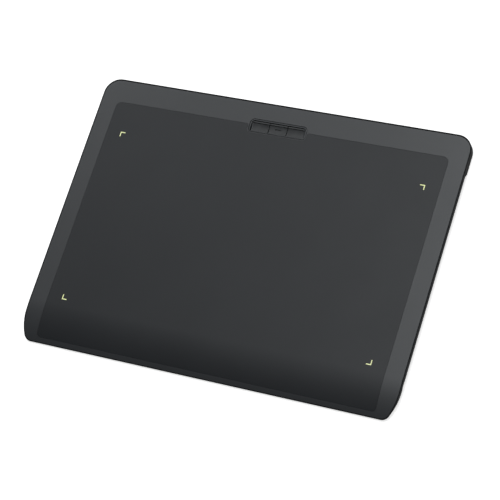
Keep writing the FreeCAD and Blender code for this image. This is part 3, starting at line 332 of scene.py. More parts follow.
# Each entry is a record slot and the finish that its pieces take.
FINISHES: dict[str, Finish] = {
    # Black ABS from a spark-eroded mould: nearly matte, with a soft sheen on its rounded edges.
    "case_plastic": Finish("abs_moulded_black", "#1e1f21", "#17181a", 0.5, rough_spread=0.03,
                           grain_mm=0.8, relief_mm=0.012, specular=0.3),
    # Grey ABS with a finer spark texture: a broad, even sheen that follows the light. The real
    # grain is about 0.1 mm, drawn coarser so that it shows at all.
    "cover_plastic": Finish("abs_moulded_dark_grey", "#3a3c3f", "#36383b", 0.42, rough_spread=0.02,
                            patch_mm=70.0, grain_mm=0.7, relief_mm=0.006, specular=0.62),
    # Polyester film with a hard matte coat: darker and flatter than the plastic round it. The
    # real tooth is about 0.05 mm, drawn coarser so that it shows at all.
    "sheet_film": Finish("polyester_film_matte_coated", "#2f3134", "#2b2d30", 0.45, rough_spread=0.02,
                         patch_mm=80.0, grain_mm=0.6, relief_mm=0.006, specular=0.38),
    # Satin ABS round the buttons: smoother than the cover, so its rounded rim catches a thin line.
    "frame_plastic": Finish("abs_moulded_satin", "#4a4c4f", "#45474a", 0.38, grain_mm=0.5, relief_mm=0.004),
    # Satin ABS keys: the scoop shades from dark at the rear to pale at the front lip.
    "key_plastic": Finish("abs_moulded_satin_keys", "#313335", "#2d2f31", 0.38, grain_mm=0.5, relief_mm=0.004,
                          patch_mm=12.0),
    # Frosted polycarbonate, lit from below: pale yellow-green, almost even over its face.
    "light_guide": LitFinish("polycarbonate_frosted_lit", "#e4e9b4", "#d8df96", 0.45, grain_mm=0.6,
                             relief_mm=0.003),
    # Chip light in cast resin: a soft yellow core under the guide.
    "light_chip": LitFinish("resin_cast_phosphor", "#f6efb0", "#e6dc8c", 0.35, grain_mm=0.3, relief_mm=0.002,
                            strength=1.0),
    # Acrylic adhesive on a carrier: waxy and off-white.
    "adhesive_film": Finish("acrylic_adhesive_film", "#c9c8bf", "#bdbbb0", 0.55, grain_mm=2.0,
                            relief_mm=0.004),
    # Glass-epoxy board: green solder mask with the copper tracks showing through it.
    "circuit_board": BandedFinish("glass_epoxy_solder_mask", "#14482e", "#103d27", 0.32, grain_mm=0.5,
                                  relief_mm=0.004, band="#1f6a43", band_mm=2.4, threshold=0.72, jog=3.0),
    # Moulded epoxy chip: flat black-grey with a fine sandy skin.
    "chip_body": Finish("epoxy_moulded_chip", "#2a2b2d", "#222325", 0.55, grain_mm=0.3, relief_mm=0.004,
                        patch_mm=4.0),
    # Tinned steel sheet: dull silver with long rolling strokes.
    "steel_plate": Finish("steel_sheet_tinned", "#b9bcc0", "#a4a7ab", 0.36, grain_mm=0.8, relief_mm=0.003,
                          texture=Texture.BRUSHED, metallic=1.0, patch_mm=20.0),
    # Black zinc on a turned steel screw: dark metal with a faint turned sheen.
    "screw_steel": Finish("steel_turned_black_zinc", "#4b4c50", "#3a3b3f", 0.34, grain_mm=0.3,
                          relief_mm=0.003, metallic=1.0, patch_mm=2.0),
    # Nickel over drawn stainless steel: bright, with soft draw lines.
    "port_steel": Finish("steel_drawn_nickel_plated", "#c4c6c8", "#b0b2b5", 0.26, grain_mm=0.4,
                         relief_mm=0.002, texture=Texture.BRUSHED, metallic=1.0, patch_mm=3.0),
    # Moulded liquid-crystal polymer: deep matte black.
    "port_core": Finish("crystal_polymer_moulded", "#202123", "#18191a", 0.6, grain_mm=0.3, relief_mm=0.003,
                        patch_mm=2.0),
    # Moulded nylon of the slide switch: black with a dry, slightly waxy sheen.
    "switch_plastic": Finish("nylon_moulded_black", "#28292b", "#1f2022", 0.48, grain_mm=0.3, relief_mm=0.005,
                             patch_mm=3.0),
    # Moulded acetal stem: milky white and slightly slick.
    "stem_plastic": Finish("acetal_moulded_white", "#e2e1db", "#d4d3cc", 0.3, grain_mm=0.4, relief_mm=0.002,
                           patch_mm=2.0),
    # Natural nylon sockets: ivory, a little mottled.
    "socket_plastic": Finish("nylon_moulded_natural", "#e6dfcb", "#d8d0ba", 0.45, grain_mm=0.4,
                             relief_mm=0.004, patch_mm=3.0),
    # Laminated polyester ribbon: pale film with flat conductors at 1 mm.
    "ribbon_film": BandedFinish("polyester_laminated_ribbon", "#dfe1e4", "#d2d4d8", 0.35, grain_mm=1.0,
                                relief_mm=0.003, band="#9fa3a8", band_mm=1.0, along_x=False, threshold=0.55),
    # Fired ceramic antenna block: off-white with a fine dry grain.
    "antenna_ceramic": Finish("ceramic_fired", "#dedcd4", "#cfccc2", 0.5, grain_mm=0.25, relief_mm=0.003,
                              patch_mm=2.0),
    # Laminated aluminium pouch: soft creases in a dull silver skin.
    "battery_foil": Finish("aluminium_laminate_pouch", "#bfc1c4", "#adafb3", 0.34, grain_mm=7.0,
                           relief_mm=0.08, texture=Texture.CREASED, metallic=1.0, patch_mm=25.0),
    # Foam tape: charcoal, with open cells on its cut edge.
    "tape_foam": Finish("polyurethane_foam_tape", "#303133", "#252628", 0.85, grain_mm=0.5, relief_mm=0.05,
                        texture=Texture.CELLS, patch_mm=10.0),
    # Silicone insulation: soft red.
    "lead_red": Finish("silicone_extruded_red", "#b22a26", "#9c211e", 0.45, grain_mm=0.6, relief_mm=0.003,
                       patch_mm=6.0),
    # Silicone insulation: soft black.
    "lead_black": Finish("silicone_extruded_black", "#2b2b2c", "#222223", 0.45, grain_mm=0.6, relief_mm=0.003,
                         patch_mm=6.0),
    # Moulded silicone feet: dead matte charcoal with a slight bloom.
    "foot_rubber": Finish("silicone_moulded_charcoal", "#333435", "#28292a", 0.75, grain_mm=0.5,
                          relief_mm=0.02, patch_mm=9.0, specular=0.3),
    # Bare polyester label: black film with an orange-peel coat.
    "label_paper": Finish("polyester_label_bare", "#3b3c3e", "#343537", 0.5, grain_mm=0.9, relief_mm=0.008,
                          patch_mm=14.0),
}

MATERIALS: dict[str, bpy.types.Material] = {}


def material_for(slot: str) -> bpy.types.Material:
    """The material of a record slot, made when it is first asked for."""
    if slot not in MATERIALS:
        MATERIALS[slot] = FINISHES[slot].build()
    return MATERIALS[slot]


# Paths and rings

# Where a path is drawn in, a sharp corner's point moves by up to the distance over this share.
CORNER_LIMIT = 0.4


def corner_path(corners: Sequence[Corner], steps: int = 8) -> Path:
    """Draw a closed polygon with each corner rounded.

    Args:
        corners: Each corner's x, y and radius, anticlockwise.
        steps: Edges along each corner's arc.

    Returns:
        The points, the same number for every corner.
    """
    path = []
    count = len(corners)
    for index, (x, y, radius) in enumerate(corners):
        here = Vector((x, y, 0.0))
        before = Vector((*corners[index - 1][:2], 0.0))
        after = Vector((*corners[(index + 1) % count][:2], 0.0))
        back = (before - here).normalized()
        ahead = (after - here).normalized()
        half = back.angle(ahead) / 2
        start = here + back * (radius / math.tan(half))
        middle = (back + ahead).normalized()
        centre = here + middle * (radius / math.sin(half))
        turn = start - centre
        stop = here + ahead * (radius / math.tan(half)) - centre
        sweep = math.atan2(turn.x * stop.y - turn.y * stop.x, turn.dot(stop))
        for step in range(steps + 1):
            path.append(centre + Matrix.Rotation(sweep * step / steps, 3, "Z") @ turn)
    return path


def rounded(
    left: float, right: float, front: float, rear: float, near: float, far: float, steps: int = 8
) -> Path:
    """Draw a rectangle with one radius at its front corners and one at its rear ones.

    Args:
        left: Left side.
        right: Right side.
        front: Front side.
        rear: Rear side.
        near: Radius of the front corners.
        far: Radius of the rear corners.
        steps: Edges along each corner's arc.

    Returns:
        The points, anticlockwise from the front left corner.
    """
    corners = ((left, front, near), (right, front, near), (right, rear, far), (left, rear, far))
    return corner_path(corners, steps)


def centred(half_width: float, half_depth: float, corner: float, steps: int = 8) -> Path:
    """Draw a rounded rectangle round the origin, from its half sizes and its corner radius."""
    return rounded(-half_width, half_width, -half_depth, half_depth, corner, corner, steps)


def arc(x: float, y: float, radius: float, start: float, stop: float, steps: int) -> Path:
    """Draw an arc.

    Args:
        x: The centre's X.
        y: The centre's Y.
        radius: The arc's radius.
        start: Angle of its first point, in radians.
        stop: Angle of its last point.
        steps: Edges along it.

    Returns:
        The points, both ends included.
    """
    turns = [start + (stop - start) * step / steps for step in range(steps + 1)]
    return [Vector((x + math.cos(turn) * radius, y + math.sin(turn) * radius, 0.0)) for turn in turns]


def circle_path(radius: float, steps: int = 32) -> Path:
    """Draw a circle round the origin."""
    return arc(0.0, 0.0, radius, 0.0, 2 * math.pi, steps)[:-1]


def drawn_in(path: Path, distance: float) -> Path:
    """Draw an anticlockwise path in by a distance, or out where that is negative.

    Args:
        path: The path's points.
        distance: How far its sides move inwards.

    Returns:
        A path with as many points.
    """
    moved = []
    count = len(path)
    for index, point in enumerate(path):
        arriving = (point - path[index - 1]).normalized()
        leaving = (path[(index + 1) % count] - point).normalized()
        normals = [Vector((-way.y, way.x, 0.0)) for way in (arriving, leaving)]
        middle = (normals[0] + normals[1]).normalized()
        moved.append(point + middle * (distance / max(middle.dot(normals[0]), CORNER_LIMIT)))
    return moved


def at_height(path: Path, height: float) -> Ring:
    """Lift a path to a height."""
    return [Vector((point.x, point.y, height)) for point in path]


def at_depth(path: Path, y: float, x: float = 0.0, z: float = 0.0) -> Ring:
    """Stand a path up, facing the rear, at a depth in Y and round a point in X and Z."""
    return [Vector((x - point.x, y, z + point.y)) for point in path]


def stacked(path: Path, steps: Steps) -> list[Ring]:
    """Rings of one path, each drawn in by an inset and lifted to a height."""
    return [at_height(drawn_in(path, inset), height) for inset, height in steps]


def round_over(path: Path, radius: float, height: float, steps: int = 4, hole: bool = False) -> list[Ring]:
    """Rings that round an upper edge over, from the side of a plate to its top.

    Args:
        path: The plate's outline, or a hole's.
        radius: Radius of the edge.
        height: Height of the plate's top.
        steps: Edges along the arc.
        hole: True where the plate lies outside the path.

    Returns:
        The rings, from the side upwards.
    """
    rings = []
    for step in range(steps + 1):
        turn = math.pi / 2 * step / steps
        inset = drawn_in(path, radius * (1 - math.cos(turn)) * (-1 if hole else 1))
        rings.append(at_height(inset, height - radius * (1 - math.sin(turn))))
    return rings


def round_under(path: Path, radius: float, height: float, steps: int = 4) -> list[Ring]:
    """Rings that round a lower edge, from the bottom of a plate to its side."""
    over = round_over(path, radius, 0.0, steps)
    return [[Vector((p.x, p.y, height - p.z)) for p in ring] for ring in reversed(over)]


# Meshes

def add_object(name: str, data: bpy.types.ID) -> bpy.types.Object:
    """Add an object with its data to the scene."""
    item = bpy.data.objects.new(name, data)
    bpy.context.scene.collection.objects.link(item)
    return item


def skin_rings(rings: Sequence[Ring], closed: bool = False) -> bmesh.types.BMesh:
    """Skin a stack of rings that have as many points each.

    Args:
        rings: The rings in order.
        closed: True joins the last ring to the first, False caps both ends.

    Returns:
        A closed mesh.
    """
    mesh = bmesh.new()
    rows = [[mesh.verts.new(point) for point in ring] for ring in rings]
    pairs = list(zip(rows, rows[1:]))
    if closed:
        pairs.append((rows[-1], rows[0]))
    count = len(rows[0])
    for lower, upper in pairs:
        for index in range(count):
            after = (index + 1) % count
            mesh.faces.new((lower[index], lower[after], upper[after], upper[index]))
    if not closed:
        mesh.faces.new(list(reversed(rows[0])))
        mesh.faces.new(rows[-1])
    bmesh.ops.recalc_face_normals(mesh, faces=mesh.faces)
    return mesh


def slice_rows(mesh: bmesh.types.BMesh, rows: Sequence[float], way: tuple[int, int, int] = (0, 1, 0)) -> None:
    """Cut edges across a mesh, so that it can be bent there.

    Args:
        mesh: The mesh to cut.
        rows: Where the cuts lie, measured along the way.
        way: Direction square to the cuts, which is Y unless another is given.
    """
    for place in rows:
        parts = list(mesh.verts) + list(mesh.edges) + list(mesh.faces)
        bmesh.ops.bisect_plane(mesh, geom=parts, dist=SLICE_MM, plane_co=Vector(way) * place, plane_no=way)


def pull(mesh: bmesh.types.BMesh, height: Callable[[Vector], float]) -> None:
    """Move each point to the height that a rule gives for it."""
    for vertex in mesh.verts:
        vertex.co.z = height(vertex.co)


def make_piece(mesh: bmesh.types.BMesh, name: str) -> bpy.types.Object:
    """Turn a mesh in millimetres into an object in metres.

    Args:
        mesh: The mesh, which is used up.
        name: The object's name.

    Returns:
        The object, at the origin.
    """
    bmesh.ops.triangulate(mesh, faces=[face for face in mesh.faces if len(face.verts) > 4])
    mesh.transform(Matrix.Scale(MM, 4))
    data = bpy.data.meshes.new(name)
    mesh.to_mesh(data)
    mesh.free()
    return add_object(name, data)


def solid(name: str, rings: Sequence[Ring], closed: bool = False) -> bpy.types.Object:
    """A piece from a stack of rings, as skin_rings joins them."""
    return make_piece(skin_rings(rings, closed), name)


def turned(name: str, profile: Steps, closed: bool = False) -> bpy.types.Object:
    """A turned piece round the Z axis.

    Args:
        name: The object's name.
        profile: Radius and height of each ring.
        closed: True for a tube, whose last ring meets its first.

    Returns:
        The object.
    """
    rings = [at_height(circle_path(radius), height) for radius, height in profile]
    return solid(name, rings, closed)


def standing(
    name: str, path: Path, steps: Steps, x: float = 0.0, z: float = 0.0, closed: bool = False
) -> bpy.types.Object:
    """A piece that stands up and faces the rear.

    Args:
        name: The object's name.
        path: Its outline.
        steps: An inset and a depth in Y for each ring.
        x: Its middle in X.
        z: Its middle in Z.
        closed: True for a shell, whose last ring meets its first.

    Returns:
        The object.
    """
    return solid(name, [at_depth(drawn_in(path, inset), y, x, z) for inset, y in steps], closed)


def make_plain(piece: bpy.types.Object) -> None:
    """Apply everything that a piece's modifiers do."""
    depsgraph = bpy.context.evaluated_depsgraph_get()
    data = bpy.data.meshes.new_from_object(piece.evaluated_get(depsgraph))
    piece.modifiers.clear()
    piece.data = data


def merged(name: str, pieces: Sequence[bpy.types.Object]) -> bpy.types.Object:
    """Put several objects' meshes in one.

    Args:
        name: Name of the result.
        pieces: The objects, which are used up.

    Returns:
        One object that holds them all.
    """
    mesh = bmesh.new()
    for piece in pieces:
        mesh.from_mesh(piece.data)
        bpy.data.objects.remove(piece)
    data = bpy.data.meshes.new(name)
    mesh.to_mesh(data)
    mesh.free()
    return add_object(name, data)


def carve(piece: bpy.types.Object, cutters: Sequence[bpy.types.Object]) -> None:
    """Take cutters out of a piece.

    Args:
        piece: The piece, which keeps its name.
        cutters: Closed objects, which are used up.
    """
    for cutter in cutters:
        modifier = piece.modifiers.new(cutter.name, "BOOLEAN")
        modifier.operation = "DIFFERENCE"
        modifier.solver = "EXACT"
        modifier.object = cutter
    make_plain(piece)
    for cutter in cutters:
        bpy.data.objects.remove(cutter)
    mesh = bmesh.new()
    mesh.from_mesh(piece.data)
    bmesh.ops.remove_doubles(mesh, verts=mesh.verts, dist=WELD_MM * MM)
    bmesh.ops.dissolve_degenerate(mesh, edges=mesh.edges, dist=WELD_MM * MM)
    bmesh.ops.recalc_face_normals(mesh, faces=mesh.faces)
    mesh.to_mesh(piece.data)
    mesh.free()


def shade(piece: bpy.types.Object, angle: float) -> None:
    """Shade a piece smooth up to an angle between its faces, and level where they are flat."""
    piece.data.polygons.foreach_set("use_smooth", [True] * len(piece.data.polygons))
    piece.data.set_sharp_from_angle(angle=math.radians(angle))
    modifier = piece.modifiers.new("level", "WEIGHTED_NORMAL")
    modifier.keep_sharp = True
    modifier.weight = 100
    make_plain(piece)


def finish_piece(
    piece: bpy.types.Object,
    slot: str,
    nodes: Sequence[str] = (),
    body: Body = Body.TABLET,
    angle: float = SMOOTH_ANGLE,
) -> None:
    """Shade a piece, and give it its material and its place in the frame.

    Args:
        piece: The piece.
        slot: Record slot of its finish.
        nodes: Solids that it stands for.
        body: Body that it moves with.
        angle: Edges that turn by more than this many degrees stay sharp.
    """
    shade(piece, angle)
    piece.data.materials.clear()
    piece.data.materials.append(material_for(slot))
    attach(piece, body.value)
    if nodes:
        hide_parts(*nodes)
    LOG.info("%s: %d faces, %s", piece.name, len(piece.data.polygons), slot)


@dataclass(frozen=True)
class Grid:
    """Where the copies of a unit go.

    Attributes:
        counts: Columns and rows.
        spans: Width and depth from the first to the last, in millimetres.
        centre: Middle of the grid, in millimetres.
    """

    counts: tuple[int, int]
    spans: tuple[float, float]
    centre: tuple[float, float, float]


class Repeat:
    """A Geometry Nodes tree that repeats a unit on a grid of columns and rows."""

    INPUTS = (
        ("Unit", "NodeSocketObject"),
        ("Columns", "NodeSocketInt"),
        ("Rows", "NodeSocketInt"),
        ("Width", "NodeSocketFloat"),
        ("Depth", "NodeSocketFloat"),
        ("Centre", "NodeSocketVector"),
        ("Material", "NodeSocketMaterial"),
    )

    def __init__(self) -> None:
        """Build the tree with its named inputs."""
        self.tree = bpy.data.node_groups.new("repeat_on_grid", "GeometryNodeTree")
        self.sockets: dict[str, str] = {}
        for name, kind in self.INPUTS:
            item = self.tree.interface.new_socket(name=name, in_out="INPUT", socket_type=kind)
            self.sockets[name] = item.identifier
        self.tree.interface.new_socket(name="Geometry", in_out="OUTPUT", socket_type="NodeSocketGeometry")
        given = add_node(self.tree, "NodeGroupInput").outputs
        grid = add_node(self.tree, "GeometryNodeMeshGrid", links={
            "Size X": given["Width"], "Size Y": given["Depth"],
            "Vertices X": given["Columns"], "Vertices Y": given["Rows"],
        })
        placed = add_node(self.tree, "GeometryNodeSetPosition",
                          links={"Geometry": grid.outputs["Mesh"], "Offset": given["Centre"]})
        unit = add_node(self.tree, "GeometryNodeObjectInfo", links={"Object": given["Unit"]})
        copies = add_node(self.tree, "GeometryNodeInstanceOnPoints",
                          links={"Points": placed.outputs["Geometry"], "Instance": unit.outputs["Geometry"]})
        real = add_node(self.tree, "GeometryNodeRealizeInstances",
                        links={"Geometry": copies.outputs["Instances"]})
        dressed = add_node(self.tree, "GeometryNodeSetMaterial",
                           links={"Geometry": real.outputs["Geometry"], "Material": given["Material"]})
        add_node(self.tree, "NodeGroupOutput", links={"Geometry": dressed.outputs["Geometry"]})

    def make(self, name: str, unit: bpy.types.Object, grids: Sequence[Grid], slot: str) -> bpy.types.Object:
        """Repeat a unit on one or more grids and turn the result into a plain mesh.

        Args:
            name: Name of the result.
            unit: The object to repeat, drawn round the origin. It is used up.
            grids: Where the copies go.
            slot: Record slot of the finish.

        Returns:
            One plain object.
        """
        sets = []
        for number, grid in enumerate(grids):
            holder = add_object(f"{name}_{number}", bpy.data.meshes.new(name))
            modifier = holder.modifiers.new("repeat", "NODES")
            modifier.node_group = self.tree
            values = {
                "Unit": unit, "Columns": grid.counts[0], "Rows": grid.counts[1],
                "Width": grid.spans[0] * MM, "Depth": grid.spans[1] * MM,
                "Centre": [each * MM for each in grid.centre], "Material": material_for(slot),
            }
            for key, value in values.items():
                modifier[self.sockets[key]] = value
            make_plain(holder)
            sets.append(holder)
        bpy.data.objects.remove(unit)
        return merged(name, sets)


# Forms that several pieces share

@dataclass(frozen=True)
class Skin:
    """The tablet's upper skin: flat, then an arc down to the front edge."""

    top: float = 8.0
    front: float = -117.6
    curve_start: float = -84.0
    radius: float = 102.0
    row_pitch: float = 1.2

    def drop(self, y: float) -> float:
        """How far the skin lies below the flat top at a depth in Y."""
        run = max(0.0, self.curve_start - y)
        return self.radius - math.sqrt(self.radius ** 2 - run ** 2)

    def rows(self) -> list[float]:
        """Depths at which a plate is cut so that it can follow the arc."""
        count = round((self.curve_start - self.front) / self.row_pitch)
        return [self.curve_start - self.row_pitch * number for number in range(count)]


@dataclass(frozen=True)
class Underside:
    """The lower case's underside: a block at the rear, a slim slab, a block under the front."""

    block: float = 0.4
    slab: float = 3.1
    rear_foot: float = 88.5
    rear_slab: float = 85.0
    front_slab: float = -86.0
    front_foot: float = -92.0
    rim_room: float = 0.75

    def height(self, y: float) -> float:
        """Height of the underside at a depth in Y."""
        rise = self.slab - self.block
        if y > self.rear_slab:
            return self.slab - rise * min(1.0, (y - self.rear_slab) / (self.rear_foot - self.rear_slab))
        if y < self.front_slab:
            return self.slab - rise * min(1.0, (self.front_slab - y) / (self.front_slab - self.front_foot))
        return self.slab

    def rows(self) -> list[float]:
        """Depths at which the underside bends."""
        return [self.rear_foot, self.rear_slab, self.front_slab, self.front_foot]


SKIN = Skin()
UNDERSIDE = Underside()

# A blank is drawn tall. What is near its top is then pulled to the skin, the rest to the underside.
TALL = 100.0

# A cutter that opens the top starts inside the tablet and ends above it.
CUT_LOW = 5.0
CUT_HIGH = 9.0


def to_skin(point: Vector) -> float:
    """Height of a point of a tall blank once its top follows the skin."""
    return SKIN.top - SKIN.drop(point.y) - (TALL - point.z)


def to_skin_or_underside(point: Vector) -> float:
    """Height of a point of a tall blank once both its ends follow the tablet."""
    if point.z > TALL / 2:
        return to_skin(point)
    lowest_rim = to_skin(Vector((0.0, point.y, TALL - UNDERSIDE.rim_room)))
    return min(UNDERSIDE.height(point.y) + point.z, lowest_rim)


def skin_plate(rings: Sequence[Ring], name: str) -> bpy.types.Object:
    """A plate from rings of a tall blank, bent to the skin."""
    mesh = skin_rings(rings)
    slice_rows(mesh, SKIN.rows())
    pull(mesh, to_skin)
    return make_piece(mesh, name)


@dataclass(frozen=True)
class Well:
    """The opening for the buttons, through the cover and the sheet."""

    half_width: float = 25.0
    front: float = 90.6
    rear: float = 102.4
    front_radius: float = 2.3
    rear_radius: float = 3.9
    chamfer: float = 0.05

    def path(self, inset: float = 0.0) -> Path:
        """The opening's outline, drawn in by an inset."""
        return drawn_in(rounded(-self.half_width, self.half_width, self.front, self.rear,
                                self.front_radius, self.rear_radius), inset)


WELL = Well()


@dataclass(frozen=True)
class Marks:
    """The four lit L marks at the corners of the drawing area."""

    side: float = 133.0
    front: float = -79.5
    rear: float = 71.1
    leg: float = 4.2
    stroke: float = 0.75
    gap: float = 0.05
    corner: float = 0.15
    guide_low: float = 6.95
    guide_drop: float = 0.02
    guide_edge: float = 0.08

    def paths(self, gap: float) -> dict[str, Path]:
        """Outlines of the marks, each widened by a gap.

        Args:
            gap: How far each outline is drawn out.

        Returns:
            The outlines by the name of their corner.
        """
        found = {}
        for far, y, up in (("front", self.front, -1), ("rear", self.rear, 1)):
            for hand, out in (("left", -1), ("right", 1)):
                x = self.side * out
                long_x, long_y = x - self.leg * out, y - self.leg * up
                thin_x, thin_y = x - self.stroke * out, y - self.stroke * up
                corners = [(x, y), (long_x, y), (long_x, thin_y),
                           (thin_x, thin_y), (thin_x, long_y), (x, long_y)]
                if out * up < 0:
                    corners.reverse()
                path = corner_path([(cx, cy, self.corner) for cx, cy in corners], 3)
                found[f"{far}_{hand}"] = drawn_in(path, -gap)
        return found

    def cutter(self) -> bpy.types.Object:
        """A cutter that opens all four marks through the cover and the sheet."""
        cutters = []
        for corner, path in self.paths(self.gap).items():
            cutters.append(solid(f"cut_{corner}", stacked(path, ((0.0, CUT_LOW), (0.0, CUT_HIGH)))))
        return merged("cut_marks", cutters)

    def build(self) -> None:
        """Make the four light guides."""
        high = SKIN.top - self.guide_drop
        for corner, path in self.paths(0.0).items():
            rings = [at_height(path, self.guide_low), *round_over(path, self.guide_edge, high, 2)]
            guide = solid(f"{corner}_guide_lens", rings)
            finish_piece(guide, "light_guide", [f"{corner}_light_guide"])


MARKS = Marks()


@dataclass(frozen=True)
class Screws:
    """The case screws' places and sizes."""

    outer_x: float = 151.5
    inner_x: float = 51.9645
    rear_y: float = 110.6
    front_y: float = -98.6
    head_radius: float = 1.9
    head_low: float = 0.6
    seat: float = 1.7
    tip: float = 6.1
    shank_radius: float = 1.0
    drive_depth: float = 0.55
    bore_radius: float = 2.1
    bore_mouth: float = 0.6
    bore_end: float = 2.5
    bore_flare: float = 1.6

    def grids(self) -> list[Grid]:
        """The outer and the inner grid of screws."""
        depth = self.rear_y - self.front_y
        centre = (0.0, (self.rear_y + self.front_y) / 2, 0.0)
        return [Grid((2, 2), (x * 2, depth), centre) for x in (self.outer_x, self.inner_x)]

    def bore(self) -> bpy.types.Object:
        """A cutter for one screw's hole, which widens towards the underside."""
        return turned("screw_bore", (
            (self.bore_radius + self.bore_flare, self.bore_mouth - self.bore_flare),
            (self.bore_radius, self.bore_mouth), (self.bore_radius, self.bore_end),
        ))


SCREWS = Screws()


@dataclass(frozen=True)
class BoardScrews:
    """The main board's screws: their grid, and the top of the board that they hold."""

    grid: Grid = Grid((2, 2), (146.0, 17.5), (42.0, 102.45, 0.0))
    board_top: float = 2.8
    head: float = 1.6
    head_height: float = 0.7
    shank: float = 0.8
    length: float = 1.9


BOARD_SCREWS = BoardScrews()


# Feet and label

def recess_cutter(name: str, path: Path, mouth: float, floor: float, flare: float) -> bpy.types.Object:
    """A cutter for a recess in the underside, with a bevelled edge.

    Args:
        name: The cutter's name.
        path: The recess's outline.
        mouth: Height at which the bevel ends.
        floor: Height at which the recess ends.
        flare: How far the cutter widens below its mouth, at 45 degrees.

    Returns:
        The cutter.
    """
    return solid(name, stacked(path, ((-flare, mouth - flare), (0.0, mouth), (0.0, floor))))


@dataclass(frozen=True)
class Feet:
    """The four rubber feet, each in a recess of a block."""

    x: float = 102.0
    rear_y: float = 103.1
    front_y: float = -101.1
    half_length: float = 30.0
    half_width: float = 4.0
    corner: float = 3.0
    top: float = 0.8
    edge: float = 0.25
    gap: float = 0.25
    mouth: float = 0.6
    flare: float = 1.6

    def paths(self, gap: float = 0.0) -> dict[str, Path]:
        """Outlines of the feet by the name of their corner.

        Args:
            gap: How far each outline is drawn out.

        Returns:
            The outlines.
        """
        long, wide, corner = self.half_length + gap, self.half_width + gap, self.corner + gap
        found = {}
        for far, y in (("rear", self.rear_y), ("front", self.front_y)):
            for hand, x in (("left", -self.x), ("right", self.x)):
                found[f"{far}_{hand}"] = rounded(x - long, x + long, y - wide, y + wide, corner, corner)
        return found

    def cutters(self) -> list[bpy.types.Object]:
        """Cutters for the four recesses."""
        return [recess_cutter(f"cut_{place}_foot", path, self.mouth, self.top, self.flare)
                for place, path in self.paths(self.gap).items()]

    def build(self) -> None:
        """Make the feet."""
        for place, path in sorted(self.paths().items()):
            rings = [*round_under(path, self.edge, 0.0, 4), at_height(path, self.top)]
            foot = solid(f"{place}_pad", rings)
            finish_piece(foot, "foot_rubber", [f"{place}_foot"])


FEET = Feet()


@dataclass(frozen=True)
class Label:
    """The bare rating label, in a recess of the slab."""

    half_width: float = 33.0
    half_depth: float = 12.0
    corner: float = 1.5
    low: float = 3.2
    high: float = 3.4
    edge: float = 0.04
    gap: float = 0.25
    recess_corner: float = 1.6
    flare: float = 1.0

    def path(self, gap: float, corner: float) -> Path:
        """The label's outline, drawn out by a gap."""
        return centred(self.half_width + gap, self.half_depth + gap, corner)

    def cutter(self) -> bpy.types.Object:
        """A cutter for the recess."""
        path = self.path(self.gap, self.recess_corner)
        return recess_cutter("cut_label", path, self.low, self.high, self.flare)

    def build(self) -> None:
        """Make the label."""
        path = self.path(0.0, self.corner)
        steps = ((self.edge, self.low), (0.0, self.low + self.edge), (0.0, self.high))
        label = solid("bare_label", stacked(path, steps))
        finish_piece(label, "label_paper", ["rating_label"])


LABEL = Label()


# Lower case

@dataclass(frozen=True)
class Opening:
    """An opening in the rear face.

    Attributes:
        name: What it is for.
        half_sizes: Half its width and half its height.
        corner: Radius of its corners.
        x: Its middle in X.
        z: Its middle in Z.
        steps: An inset and a depth in Y for each ring, from outside inwards.
    """

    name: str
    half_sizes: tuple[float, float]
    corner: float
    x: float
    z: float
    steps: Steps


REAR_OPENINGS = (
    Opening("port", (4.69, 1.85), 1.62, 0.0, 4.43, ((-1.65, 119.0), (0.0, 117.35), (0.0, 113.9))),
    Opening("scoop", (5.35, 1.7), 1.2, 75.0, 4.0,
            ((-0.6, 118.6), (0.0, 117.6), (0.12, 117.1), (0.5, 116.75), (1.1, 116.7))),
    Opening("slot", (3.75, 1.2), 0.3, 75.0, 4.0, ((0.0, 118.6), (0.0, 113.9))),
)


